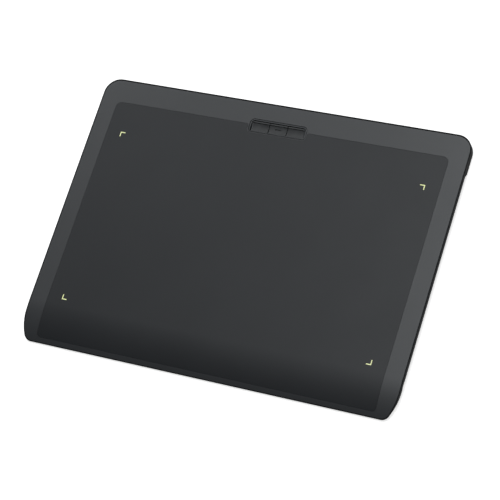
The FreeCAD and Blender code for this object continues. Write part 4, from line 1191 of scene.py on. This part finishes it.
@dataclass
class LowerCase:
    """The black tray: outer wall with a thin rim, two deep blocks, ribs, posts and openings."""

    repeat: Repeat
    half_width: float = 160.7
    front: float = -117.6
    rear: float = 117.6
    wide_corner: float = 48.0
    tight_corner: float = 7.0
    corner_sine: float = 0.4
    rear_corner: float = 13.4
    inner_corner: float = 15.8
    wide_steps: int = 8
    tight_steps: int = 12
    rear_steps: int = 16
    lower_round: float = 0.6
    rim_drop: float = 0.1
    rim_round: float = 0.42
    rim_width: float = 0.45
    lip_run: float = 0.04
    lip_start: float = 0.01
    lip_drop: float = 0.06
    ledge_drop: float = 1.5
    wall: float = 2.2
    nose: float = 7.6
    floor: float = 1.0
    tuck: float = 1.2
    tuck_start: float = -85.0
    tuck_run: float = 7.0
    tuck_height: float = 2.7
    rib_half: float = 0.6
    rib_low: float = 3.9
    rib_top: float = 5.5
    rib_edge: float = 0.15
    rib_corner: float = 0.2
    post_low: float = 0.9
    post_top: float = 3.0
    post_radius: float = 3.0
    post_bore: float = 1.2
    post_edge: float = 0.2
    board_post_top: float = 1.8
    board_post_radius: float = 2.0
    board_post_bore: float = 0.82
    grid_half_width: float = 136.4
    grid_half_depth: float = 76.75
    grid_y: float = -4.75

    def outline(self) -> Path:
        """The case's plan outline: a front corner is a wide arc beside the side, then a tight one."""
        half = math.pi / 2
        turn = math.asin(self.corner_sine)
        spread = self.wide_corner - self.tight_corner
        wide_x = self.half_width - self.wide_corner
        tight_x = wide_x + spread * math.cos(turn)
        tight_y = self.front + self.tight_corner
        wide_y = tight_y + spread * self.corner_sine
        rear_x, rear_y = self.half_width - self.rear_corner, self.rear - self.rear_corner
        return [
            Vector((-self.half_width, self.tuck_start, 0.0)),
            *arc(-wide_x, wide_y, self.wide_corner, 2 * half, 2 * half + turn, self.wide_steps),
            *arc(-tight_x, tight_y, self.tight_corner, 2 * half + turn, 3 * half, self.tight_steps)[1:],
            *arc(tight_x, tight_y, self.tight_corner, -half, -turn, self.tight_steps)[:-1],
            *arc(wide_x, wide_y, self.wide_corner, -turn, 0.0, self.wide_steps),
            Vector((self.half_width, self.tuck_start, 0.0)),
            *arc(rear_x, rear_y, self.rear_corner, 0.0, half, self.rear_steps),
            *arc(-rear_x, rear_y, self.rear_corner, half, 2 * half, self.rear_steps),
        ]

    def inner_outline(self) -> Path:
        """Outline of the tray's inside, with as many points as the case's outline."""
        half = math.pi / 2
        near, far = self.inner_corner, self.rear_corner - self.wall
        near_x, near_y = self.half_width - self.wall - near, self.front + self.nose + near
        far_x, far_y = self.half_width - self.wall - far, self.rear - self.wall - far
        near_steps = self.wide_steps + self.tight_steps
        return [
            Vector((self.wall - self.half_width, self.tuck_start, 0.0)),
            *arc(-near_x, near_y, near, 2 * half, 3 * half, near_steps),
            *arc(near_x, near_y, near, -half, 0.0, near_steps),
            Vector((self.half_width - self.wall, self.tuck_start, 0.0)),
            *arc(far_x, far_y, far, 0.0, half, self.rear_steps),
            *arc(-far_x, far_y, far, half, 2 * half, self.rear_steps),
        ]

    def tucked(self, outline: Path) -> Path:
        """The foot's outline: drawn in under the front block, so that its wall leans in on its way down."""
        inside = drawn_in(outline, self.tuck)
        shares = [min(1.0, max(0.0, (self.tuck_start - point.y) / self.tuck_run)) for point in outline]
        return [point.lerp(other, share) for point, other, share in zip(outline, inside, shares)]

    def tray(self) -> bpy.types.Object:
        """The tray before anything is cut from it."""
        outline = self.outline()
        inner = self.inner_outline()
        rim = TALL - self.rim_drop
        lip = drawn_in(outline, self.rim_width)
        inner_rim = stacked(outline, ((self.rim_width - self.lip_run, rim - self.lip_start),
                                      (self.rim_width, rim - self.lip_drop)))
        rings = [
            *round_under(self.tucked(outline), self.lower_round, 0.0, 4),
            at_height(outline, self.tuck_height),
            *round_over(outline, self.rim_round, rim, 3),
            *inner_rim, at_height(lip, TALL - self.ledge_drop),
            at_height(inner, TALL - self.ledge_drop), at_height(inner, self.floor),
        ]
        mesh = skin_rings(rings)
        slice_rows(mesh, SKIN.rows() + UNDERSIDE.rows())
        pull(mesh, to_skin_or_underside)
        return make_piece(mesh, "case_tray")

    def underside_cutters(self) -> bpy.types.Object:
        """Cutters for the feet's recesses, the screw holes and the label's recess."""
        bores = self.repeat.make("cut_screws", SCREWS.bore(), SCREWS.grids(), "case_plastic")
        return merged("cut_underside", [*FEET.cutters(), LABEL.cutter(), bores])

    def rear_cutters(self) -> list[bpy.types.Object]:
        """Cutters for the charging port, the power knob's slot and its finger scoop."""
        return [
            standing(f"cut_{opening.name}", centred(*opening.half_sizes, opening.corner), opening.steps,
                     opening.x, opening.z)
            for opening in REAR_OPENINGS
        ]

    def ribs(self) -> None:
        """The grid of ribs under the sensor board."""
        half, wide, deep = self.rib_half, self.grid_half_width, self.grid_half_depth
        centre = (0.0, self.grid_y, 0.0)
        pieces = []
        for name, bar, grid in (
            ("long", (half, deep), Grid((9, 1), (wide * 2, 0.0), centre)),
            ("cross", (wide, half), Grid((1, 3), (0.0, deep), centre)),
        ):
            path = centred(*bar, self.rib_corner, 2)
            rings = [at_height(path, self.rib_low), *round_over(path, self.rib_edge, self.rib_top, 2)]
            unit = solid(f"rib_{name}", rings)
            pieces.append(self.repeat.make(f"ribs_{name}", unit, [grid], "case_plastic"))
        finish_piece(merged("support_ribs", pieces), "case_plastic")

    def posts(self) -> None:
        """The screw posts of the case and of the main board."""
        low, high, edge = self.post_low, self.post_top, self.post_edge
        wide, slim = self.post_radius, self.post_bore
        case_post = turned("case_post", (
            (wide, low), (wide, high - edge), (wide - edge, high), (slim, high), (slim, SCREWS.seat),
            (SCREWS.bore_radius, SCREWS.seat), (SCREWS.bore_radius, low),
        ), closed=True)
        high, wide, slim = self.board_post_top, self.board_post_radius, self.board_post_bore
        board_post = turned("board_post", ((wide, low), (wide, high), (slim, high), (slim, low)), closed=True)
        posts = merged("screw_posts", [
            self.repeat.make("posts_case", case_post, SCREWS.grids(), "case_plastic"),
            self.repeat.make("posts_board", board_post, [BOARD_SCREWS.grid], "case_plastic"),
        ])
        finish_piece(posts, "case_plastic")

    def build(self) -> None:
        """Make the tray, its ribs and its posts."""
        tray = self.tray()
        carve(tray, [self.underside_cutters(), *self.rear_cutters()])
        finish_piece(tray, "case_plastic", ["lower_case"], angle=PLATE_ANGLE)
        self.ribs()
        self.posts()


# Top cover and drawing sheet

@dataclass
class Top:
    """The grey cover, with the matte drawing sheet laid into it."""

    repeat: Repeat
    case: LowerCase
    cover_inset: float = 0.5
    left_gap: float = 0.35
    rear_gap: float = 0.6
    cover_wall: float = 1.5
    cover_round: float = 0.45
    sheet_side: float = 145.45
    sheet_front: float = -113.0
    sheet_rear: float = 97.1
    sheet_front_radius: float = 3.0
    sheet_rear_radius: float = 5.0
    flare: float = 1.6
    strip: float = 0.8
    sheet_thickness: float = 0.5
    recess: float = 0.6
    gap: float = 0.07
    edge: float = 0.07
    recess_flare: float = 0.8
    well_flare: float = 1.0
    boss_low: float = 3.0
    boss_radius: float = 2.2
    boss_bore: float = 1.02
    rear_boss_top: float = 6.5
    front_boss_top: float = 5.3

    def sheet_path(self) -> Path:
        """The sheet's outline, with the notch for the buttons and a flare on each side of it."""
        side, near, far = self.sheet_side, self.sheet_front_radius, self.sheet_rear_radius
        notch = WELL.half_width + self.strip
        foot = WELL.front - self.strip
        corner = WELL.front_radius + self.strip
        return corner_path((
            (-side, self.sheet_front, near), (side, self.sheet_front, near),
            (side, self.sheet_rear, far), (notch, self.sheet_rear, self.flare),
            (notch, foot, corner), (-notch, foot, corner),
            (-notch, self.sheet_rear, self.flare), (-side, self.sheet_rear, far),
        ))

    def cover_outline(self) -> Path:
        """The cover's outline inside the tray's rim, with a wider gap towards the left and the rear."""
        outline = drawn_in(self.case.outline(), self.cover_inset)
        for point in outline:
            point.x += self.left_gap * max(0.0, -point.x) / self.case.half_width
            point.y -= self.rear_gap * max(0.0, point.y) / self.case.rear
        return outline

    def cover(self) -> None:
        """Make the cover, open for the buttons and the marks, with its screw bosses."""
        outline = self.cover_outline()
        rings = [at_height(outline, TALL - self.cover_wall), *round_over(outline, self.cover_round, TALL, 4)]
        cover = skin_plate(rings, "cover_shell")
        path = drawn_in(self.sheet_path(), -self.gap)
        mouth = TALL - self.edge
        steps = ((0.0, TALL - self.recess), (0.0, mouth), (-self.recess_flare, mouth + self.recess_flare))
        recess = skin_plate(stacked(path, steps), "cut_recess")
        mouth = SKIN.top - WELL.chamfer
        steps = ((0.0, CUT_LOW), (0.0, mouth), (-self.well_flare, mouth + self.well_flare))
        opening = solid("cut_well", stacked(WELL.path(), steps))
        carve(cover, [recess, opening, MARKS.cutter()])
        finish_piece(cover, "cover_plastic", ["top_cover"], angle=PLATE_ANGLE)
        self.bosses()

    def bosses(self) -> None:
        """The screwed bosses under the cover."""
        pieces = []
        wide, slim, low = self.boss_radius, self.boss_bore, self.boss_low
        for name, y, high in (("rear", SCREWS.rear_y, self.rear_boss_top),
                              ("front", SCREWS.front_y, self.front_boss_top)):
            unit = turned(f"boss_{name}", ((wide, low), (wide, high), (slim, high), (slim, low)), closed=True)
            grids = [Grid((2, 1), (x * 2, 0.0), (0.0, y, 0.0)) for x in (SCREWS.outer_x, SCREWS.inner_x)]
            pieces.append(self.repeat.make(f"bosses_{name}", unit, grids, "cover_plastic"))
        finish_piece(merged("cover_bosses", pieces), "cover_plastic")

    def sheet(self) -> None:
        """Make the drawing sheet, open for the marks."""
        path = self.sheet_path()
        rings = [at_height(path, TALL - self.sheet_thickness), *round_over(path, self.edge, TALL, 2)]
        sheet = skin_plate(rings, "matte_sheet")
        carve(sheet, [MARKS.cutter()])
        finish_piece(sheet, "sheet_film", ["drawing_sheet"], angle=PLATE_ANGLE)

    def build(self) -> None:
        """Make the cover and the sheet."""
        self.cover()
        self.sheet()


# Buttons

@dataclass
class ButtonUnit:
    """The frame with the three scooped keys."""

    window_side: float = 23.65
    window_front: float = 91.45
    window_rear: float = 101.05
    window_front_radius: float = 0.95
    window_rear_radius: float = 2.55
    gap: float = 0.2
    rear_gap: float = 0.52
    pitch: float = 47.4 / 3
    split: float = 0.5
    collar_gap: float = 0.4
    collar_round: float = 0.15
    inner_round: float = 0.12
    frame_low: float = 5.7
    frame_top: float = 7.9
    frame_flange: float = 1.2
    frame_flange_top: float = 6.5
    key_low: float = 5.1
    key_flange: float = 0.8
    front_corner: float = 0.75
    rear_corner: float = 2.35
    inner_corner: float = 0.25
    flange_corner: float = 0.2
    plunger_y: float = 96.5
    plunger_radius: float = 1.5
    plunger_low: float = 4.5
    plunger_edge: float = 0.15
    plunger_overlap: float = 0.2
    ridge: float = 7.4
    ridge_front: float = 99.4
    groove: float = 6.65
    groove_share: float = 0.4
    groove_rows: tuple[float, ...] = (1.0, 0.0, 0.2, 0.4, 0.7)
    scoop_rear: float = 98.9
    scoop_centre: tuple[float, float] = (94.529, 24.923)
    scoop_radius: float = 18.4
    key_edge: float = 0.14
    end_gap: float = 0.1
    end_run: float = 1.2
    end_rows: int = 6
    row_pitch: float = 0.3
    row_count: int = 27
    mark_left: float = -2.6
    mark_right: float = 2.4
    mark_y: float = 95.95
    mark_half: float = 0.68
    mark_corner: float = 0.62
    mark_bevel: float = 0.12
    mark_depth: float = 0.7

    def frame(self) -> None:
        """Make the frame: a rounded rim on a flange under the cover."""
        window = rounded(-self.window_side, self.window_side, self.window_front, self.window_rear,
                         self.window_front_radius, self.window_rear_radius)
        flange, collar = WELL.path(-self.frame_flange), WELL.path(self.collar_gap)
        rings = [at_height(flange, self.frame_low), at_height(flange, self.frame_flange_top),
                 at_height(collar, self.frame_flange_top)]
        rings += round_over(collar, self.collar_round, self.frame_top, 3)
        rings += reversed(round_over(window, self.inner_round, self.frame_top, 5, hole=True))
        rings.append(at_height(window, self.frame_low))
        frame_piece = solid("button_surround", rings, closed=True)
        finish_piece(frame_piece, "frame_plastic", ["button_frame"])

    def surface(self, y: float) -> float:
        """Height of a key's top at a depth in Y: rear ridge, dark groove, then the finger scoop."""
        centre_y, centre_z = self.scoop_centre
        if y >= self.ridge_front:
            return self.ridge
        scoop = centre_z - math.sqrt(self.scoop_radius ** 2 - (y - centre_y) ** 2)
        if y <= self.scoop_rear:
            return scoop
        share = (y - self.scoop_rear) / (self.ridge_front - self.scoop_rear)
        if share < self.groove_share:
            return scoop + (self.groove - scoop) * share / self.groove_share
        climb = (share - self.groove_share) / (1 - self.groove_share)
        return self.groove + (self.ridge - self.groove) * climb

    def top_height(self, point: Vector) -> float:
        """Height of a key's top at a point, where the row's two outer ends sweep up to the ridge's height."""
        height = self.surface(point.y)
        end = self.window_side - self.end_gap
        share = max(0.0, abs(point.x) - (end - self.end_run)) / self.end_run
        return height + (self.ridge - height) * share ** 2

    def blank(self, number: int) -> bmesh.types.BMesh:
        """A key's tall blank with its flange, cut into rows so that its top can be bent.

        Args:
            number: The key's place from the middle, -1 for the left one.

        Returns:
            The mesh.
        """
        middle = self.pitch * number
        half = (self.pitch - self.split) / 2
        end = self.window_side - self.end_gap
        left = -end if number < 0 else middle - half
        right = end if number > 0 else middle + half
        near, far = self.window_front + self.gap, self.window_rear - self.rear_gap
        inner, outer = (self.inner_corner, self.inner_corner), (self.front_corner, self.rear_corner)
        left_corner = outer if number < 0 else inner
        right_corner = outer if number > 0 else inner
        face = corner_path(((left, near, left_corner[0]), (right, near, right_corner[0]),
                            (right, far, right_corner[1]), (left, far, left_corner[1])), 6)
        flange = rounded(left, right, near - self.key_flange, far + self.key_flange,
                         self.flange_corner, self.flange_corner, 6)
        rings = [at_height(flange, self.key_low), at_height(flange, self.frame_low),
                 at_height(face, self.frame_low)]
        rings += round_over(face, self.key_edge, TALL, 3)
        mesh = skin_rings(rings)
        rows = [near + self.row_pitch * step for step in range(1, self.row_count + 1)]
        groove_width = self.ridge_front - self.scoop_rear
        rows += [self.scoop_rear + groove_width * share for share in self.groove_rows]
        slice_rows(mesh, rows)
        if number != 0:
            steps = range(1, self.end_rows + 1)
            columns = [number * (end - self.end_run * step / self.end_rows) for step in steps]
            slice_rows(mesh, columns, (1, 0, 0))
            bmesh.ops.remove_doubles(mesh, verts=mesh.verts, dist=WELD_MM)
        return mesh

    def plunger(self, number: int) -> bpy.types.Object:
        """The round foot with which a key presses its switch stem."""
        low, radius, edge = self.plunger_low, self.plunger_radius, self.plunger_edge
        plunger = turned(f"plunger_{number}", (
            (radius - edge, low), (radius, low + edge), (radius, self.key_low + self.plunger_overlap),
        ))
        plunger.data.transform(Matrix.Translation((self.pitch * number * MM, self.plunger_y * MM, 0.0)))
        return plunger

    def key(self, name: str, number: int) -> None:
        """Make one key.

        Args:
            name: left, middle or right.
            number: Its place from the middle.
        """
        mesh = self.blank(number)
        pull(mesh, lambda point: point.z if point.z < TALL / 2 else self.top_height(point) - (TALL - point.z))
        bmesh.ops.triangulate(mesh, faces=[face for face in mesh.faces if len(face.verts) > 4])
        bmesh.ops.dissolve_degenerate(mesh, edges=mesh.edges, dist=WELD_MM)
        top = make_piece(mesh, f"{name}_key_top")
        if number == 0:
            carve(top, [self.touch_mark()])
        button = f"{name}_button"
        key = merged(f"{name}_key", [top, self.plunger(number)])
        finish_piece(key, "key_plastic", [button], Body(button), KEY_ANGLE)

    def touch_mark(self) -> bpy.types.Object:
        """A cutter for the short slot that marks the middle key to the finger."""
        path = rounded(self.mark_left, self.mark_right, self.mark_y - self.mark_half,
                       self.mark_y + self.mark_half, self.mark_corner, self.mark_corner)
        floor = self.surface(self.mark_y) - self.mark_depth
        steps = ((self.mark_bevel, floor), (0.0, floor + self.mark_bevel), (0.0, CUT_HIGH))
        return solid("cut_touch_mark", stacked(path, steps))

    def build(self) -> None:
        """Make the frame and the keys."""
        self.frame()
        for number, name in ((-1, "left"), (0, "middle"), (1, "right")):
            self.key(name, number)


# Rear edge

@dataclass
class ChargingPort:
    """The drawn steel shell with its core, tongue and contacts."""

    repeat: Repeat
    half_width: float = 4.47
    half_height: float = 1.63
    corner: float = 1.4
    wall: float = 0.3
    mouth: float = 117.2
    back: float = 109.9
    z: float = 4.43
    lip_edge: float = 0.15
    lip_inset: float = 0.05
    lip_drop: float = 0.04
    core_inset: float = 0.35
    core_length: float = 2.0
    tongue_half_sizes: tuple[float, float] = (3.3, 0.35)
    tongue_corner: float = 0.2
    tongue_start: float = 1.5
    tongue_end: float = 116.6
    tongue_edge: float = 0.15
    tongue_inset: float = 0.12
    contacts: int = 12
    contact_half_sizes: tuple[float, float] = (0.12, 1.6)
    contact_corner: float = 0.05
    contact_half_height: float = 0.37
    contact_pitch: float = 0.5
    contact_y: float = 114.4

    def build(self) -> None:
        """Make the shell, the core and the contacts."""
        outline = centred(self.half_width, self.half_height, self.corner)
        edge = self.mouth - self.lip_edge
        drop = self.mouth - self.lip_drop
        lip = ((0.0, self.back), (0.0, edge), (self.lip_inset, drop), (self.wall / 2, self.mouth),
               (self.wall - self.lip_inset, drop), (self.wall, edge), (self.wall, self.back))
        shell = standing("port_shell", outline, lip, z=self.z, closed=True)
        finish_piece(shell, "port_steel", ["charging_port_shell"])
        block = tuple((self.core_inset, y) for y in (self.back, self.back + self.core_length))
        tongue = centred(*self.tongue_half_sizes, self.tongue_corner, 3)
        steps = ((0.0, self.back + self.tongue_start), (0.0, self.tongue_end - self.tongue_edge),
                 (self.tongue_inset, self.tongue_end))
        core = merged("port_tongue", [standing("core_block", outline, block, z=self.z),
                                      standing("core_tongue", tongue, steps, z=self.z)])
        finish_piece(core, "port_core", ["charging_port_core"])
        strip = centred(*self.contact_half_sizes, self.contact_corner, 2)
        half = self.contact_half_height
        unit = solid("contact", [at_height(strip, -half), at_height(strip, half)])
        span = self.contact_pitch * (self.contacts - 1)
        grid = Grid((self.contacts, 1), (span, 0.0), (0.0, self.contact_y, self.z))
        finish_piece(self.repeat.make("port_contacts", unit, [grid], "port_steel"), "port_steel")


@dataclass
class PowerKnob:
    """The sliding knob of the power switch, with ridges for the finger."""

    repeat: Repeat
    x: float = 73.75
    z: float = 4.0
    face: float = 117.15
    plate_half_sizes: tuple[float, float] = (5.5, 1.9)
    plate_corner: float = 0.3
    plate_back: float = 114.4
    plate_front: float = 115.2
    grip_half_sizes: tuple[float, float] = (2.3, 1.0)
    grip_corner: float = 0.35
    grip_edge: float = 0.12
    grip_bevel: float = 0.04
    grip_inset: float = 0.14
    socket_half_sizes: tuple[float, float] = (0.75, 0.65)
    socket_corner: float = 0.05
    socket_start: float = 113.4
    socket_end: float = 115.05
    ridge_half_sizes: tuple[float, float] = (0.16, 0.78)
    ridge_corner: float = 0.1
    ridge_edge: float = 0.08
    ridge_overlap: float = 0.05
    ridge_face: float = 117.35
    ridge_count: int = 5
    ridge_span: float = 3.0

    def build(self) -> None:
        """Make the knob and its ridges."""
        plate = centred(*self.plate_half_sizes, self.plate_corner, 4)
        grip = centred(*self.grip_half_sizes, self.grip_corner, 4)
        steps = ((plate, self.plate_back), (plate, self.plate_front), (grip, self.plate_front),
                 (grip, self.face - self.grip_edge),
                 (drawn_in(grip, self.grip_bevel), self.face - self.grip_bevel),
                 (drawn_in(grip, self.grip_inset), self.face))
        rings = [at_depth(path, y, self.x, self.z) for path, y in steps]
        knob = solid("power_knob", rings)
        socket = centred(*self.socket_half_sizes, self.socket_corner, 2)
        steps = ((0.0, self.socket_start), (0.0, self.socket_end))
        carve(knob, [standing("cut_lever", socket, steps, self.x, self.z)])
        finish_piece(knob, "switch_plastic", ["power_switch_knob"], Body.POWER)
        bar = centred(*self.ridge_half_sizes, self.ridge_corner, 3)
        edge = self.ridge_edge
        steps = ((0.0, self.face - self.ridge_overlap), (0.0, self.ridge_face - edge),
                 (edge, self.ridge_face))
        unit = standing("knob_ridge", bar, steps)
        grid = Grid((self.ridge_count, 1), (self.ridge_span, 0.0), (self.x, 0.0, self.z))
        ridges = self.repeat.make("power_knob_ridges", unit, [grid], "switch_plastic")
        finish_piece(ridges, "switch_plastic", body=Body.POWER)


# Fasteners

def cross_cutter(name: str, reach: float, width: float, low: float, high: float) -> list[bpy.types.Object]:
    """Two tapered bars that cut a screw's cross recess.

    Args:
        name: Start of the cutters' names.
        reach: Half the length of each bar at its open end.
        width: Half the width of each bar.
        low: Height of the open end.
        high: Height of the closed end.

    Returns:
        The two cutters.
    """
    cutters = []
    taper, rounding = 0.6, 0.3
    corner = width * rounding
    for number, (along, across) in enumerate(((reach, width), (width, reach))):
        wide = centred(along, across, corner, 2)
        slim = centred(along * taper, across * taper, corner / 2, 2)
        rings = [at_height(wide, low), at_height(slim, high)]
        cutters.append(solid(f"{name}_{number}", rings))
    return cutters


@dataclass
class Fasteners:
    """The case screws and the board screws, each with a cross recess.

    Attributes:
        repeat: The tree that sets the screws out.
        case_reach: Half the length of each bar of a case screw's recess.
        case_slot: Half the width of each bar.
        case_falls: How far a case screw's shoulder and its side start behind its face.
        case_point: Radius and length of a case screw's point.
        board_reach: Half the length of each bar of a board screw's recess.
        board_slot: Half the width of each bar.
        board_falls: How far a board screw's shoulder and its side start behind its face.
        board_point: Radius and length of a board screw's point.
        board_drive_depth: Depth of a board screw's recess.
        face_inset: How far a head's flat face lies in from its side.
        shoulder_inset: How far a head's shoulder lies in from its side.
        clearance: How far the cutters stand out of a head.
    """

    repeat: Repeat
    case_reach: float = 1.15
    case_slot: float = 0.26
    case_falls: tuple[float, float] = (0.1, 0.4)
    case_point: tuple[float, float] = (0.45, 0.5)
    board_reach: float = 0.95
    board_slot: float = 0.22
    board_falls: tuple[float, float] = (0.08, 0.3)
    board_point: tuple[float, float] = (0.35, 0.4)
    board_drive_depth: float = 0.35
    face_inset: float = 0.5
    shoulder_inset: float = 0.15
    clearance: float = 0.2

    def case_screws(self) -> None:
        """Make the eight case screws."""
        low, seat, tip = SCREWS.head_low, SCREWS.seat, SCREWS.tip
        head, shank = SCREWS.head_radius, SCREWS.shank_radius
        face, shoulder = head - self.face_inset, head - self.shoulder_inset
        shoulder_fall, side_fall = self.case_falls
        point, length = self.case_point
        unit = turned("case_screw", (
            (face, low), (shoulder, low + shoulder_fall), (head, low + side_fall), (head, seat),
            (shank, seat), (shank, tip - length), (point, tip),
        ))
        mouth, floor = low - self.clearance, low + SCREWS.drive_depth
        carve(unit, cross_cutter("cut_drive", self.case_reach, self.case_slot, mouth, floor))
        screws = self.repeat.make("case_screw_set", unit, SCREWS.grids(), "screw_steel")
        finish_piece(screws, "screw_steel", ["case_screws"])

    def board_screws(self) -> None:
        """Make the four board screws."""
        head, shank, board = BOARD_SCREWS.head, BOARD_SCREWS.shank, BOARD_SCREWS.board_top
        top = board + BOARD_SCREWS.head_height
        tip = board - BOARD_SCREWS.length
        face, shoulder = head - self.face_inset, head - self.shoulder_inset
        shoulder_fall, side_fall = self.board_falls
        point, length = self.board_point
        unit = turned("board_screw", (
            (point, tip), (shank, tip + length), (shank, board), (head, board),
            (head, top - side_fall), (shoulder, top - shoulder_fall), (face, top),
        ))
        mouth, floor = top + self.clearance, top - self.board_drive_depth
        carve(unit, cross_cutter("cut_drive", self.board_reach, self.board_slot, mouth, floor))
        screws = self.repeat.make("board_screw_set", unit, [BOARD_SCREWS.grid], "screw_steel")
        finish_piece(screws, "screw_steel", ["board_screws"])

    def build(self) -> None:
        """Make both sets."""
        self.case_screws()
        self.board_screws()


# Solids that keep their own mesh

def dress_solids() -> None:
    """Give each solid that still shows the material of its record slot."""
    slots = {row["node"]: row["material_slot"] for row in frame["record"]["subparts"]}
    for name, item in frame["nodes"].items():
        if item.hide_render:
            continue
        item.data.materials.clear()
        item.data.materials.append(material_for(slots[name]))
        LOG.info("%s: its own solid, %s", name, slots[name])


# Desk, lamps and camera

@dataclass(frozen=True)
class Lamp:
    """A round soft box.

    Attributes:
        name: The lamp's name.
        at: Its place in metres.
        power: Its power in watts.
    """

    name: str
    at: tuple[float, float, float]
    power: float


@dataclass
class Studio:
    """The pale desk, the soft lamps and the camera at the photograph's angle."""

    camera_at: tuple[float, float, float] = (590.8186, -460.1480, 1375.5930)
    camera_turn: tuple[float, float, float] = (23.126561, 16.761373, 18.099835)
    lens: float = 142.2917
    sensor: float = 36.0
    desk_size: float = 8.0
    desk_dark: str = "#f6f6f5"
    desk_light: str = "#fbfbfa"
    desk_glow: float = 0.75
    fleck_scale: float = 40.0
    sky_strength: float = 0.1
    lamp_colour: tuple[float, float, float] = (0.955, 0.985, 1.0)
    lamp_width: float = 0.9
    lamps: tuple[Lamp, ...] = (
        Lamp("overhead_softbox", (0.0, 0.48, 2.35), 12.3),
        Lamp("rear_softbox", (0.0, 1.2, 2.08), 9.4),
        Lamp("left_softbox", (-1.44, 1.2, 1.5), 8.6),
    )

    def desk(self) -> None:
        """A plain white desk that keeps the tablet's shadow."""
        half = self.desk_size / 2
        data = bpy.data.meshes.new("desk")
        corners = [(-half, -half, 0), (half, -half, 0), (half, half, 0), (-half, half, 0)]
        data.from_pydata(corners, [], [(0, 1, 2, 3)])
        desk = add_object("desk", data)
        material = bpy.data.materials.new("desk_laminate_white")
        tree = emptied_tree(material)
        place = add_node(tree, "ShaderNodeTexCoord").outputs["Object"]
        fleck = add_node(tree, "ShaderNodeTexNoise", {"Scale": self.fleck_scale, "Detail": 3.0},
                         {"Vector": place})
        tint = add_node(tree, "ShaderNodeMix",
                        {"data_type": "RGBA", 6: linear(self.desk_dark), 7: linear(self.desk_light)},
                        {0: fleck.outputs["Fac"]})
        matte = add_node(tree, "ShaderNodeBsdfDiffuse", links={"Color": tint.outputs[2]})
        seen = add_node(tree, "ShaderNodeLightPath")
        glow = add_node(tree, "ShaderNodeEmission", {"Strength": self.desk_glow})
        both = add_node(tree, "ShaderNodeAddShader", links={0: matte.outputs[0], 1: glow.outputs[0]})
        direct = add_node(tree, "ShaderNodeMixShader",
                          links={0: seen.outputs["Is Camera Ray"], 1: matte.outputs[0], 2: both.outputs[0]})
        add_node(tree, "ShaderNodeOutputMaterial", links={"Surface": direct.outputs[0]})
        data.materials.append(material)

    def sky(self) -> None:
        """An even dim room, which the camera sees as white."""
        world = bpy.data.worlds.new("studio_room")
        tree = emptied_tree(world)
        seen = add_node(tree, "ShaderNodeLightPath")
        strength = add_node(tree, "ShaderNodeMapRange", {"To Min": self.sky_strength, "To Max": 1.0},
                            {"Value": seen.outputs["Is Camera Ray"]})
        room = add_node(tree, "ShaderNodeBackground", links={"Strength": strength.outputs["Result"]})
        add_node(tree, "ShaderNodeOutputWorld", links={"Surface": room.outputs[0]})
        bpy.context.scene.world = world

    def hang(self, lamp: Lamp) -> None:
        """Hang one soft box so that it faces the tablet's middle."""
        light = bpy.data.lights.new(lamp.name, "AREA")
        light.shape = "DISK"
        light.size = self.lamp_width
        light.color = self.lamp_colour
        light.energy = lamp.power
        box = add_object(lamp.name, light)
        box.location = lamp.at
        aim = Vector() - Vector(lamp.at)
        box.rotation_euler = aim.to_track_quat("-Z", "Y").to_euler()

    def camera(self) -> None:
        """Set the camera where the photograph was taken from."""
        data = bpy.data.cameras.new("photo_camera")
        data.lens = self.lens
        data.sensor_width = self.sensor
        camera = add_object("photo_camera", data)
        camera.location = [each * MM for each in self.camera_at]
        camera.rotation_euler = Euler([math.radians(each) for each in self.camera_turn])
        bpy.context.scene.camera = camera

    def build(self) -> None:
        """Set the whole studio up."""
        bpy.context.scene.view_settings.view_transform = "Standard"
        self.desk()
        self.sky()
        for lamp in self.lamps:
            self.hang(lamp)
        self.camera()


def main() -> None:
    """Build the tablet and its studio."""
    logging.basicConfig(level=logging.INFO, format="%(name)s %(message)s")
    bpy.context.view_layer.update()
    repeat = Repeat()
    case = LowerCase(repeat)
    assemblies = (
        case, Top(repeat, case), MARKS, ButtonUnit(), ChargingPort(repeat), PowerKnob(repeat),
        Fasteners(repeat), FEET, LABEL,
    )
    for assembly in assemblies:
        LOG.info("building %s", type(assembly).__name__)
        assembly.build()
    dress_solids()
    Studio().build()


if __name__ == "__main__":
    main()
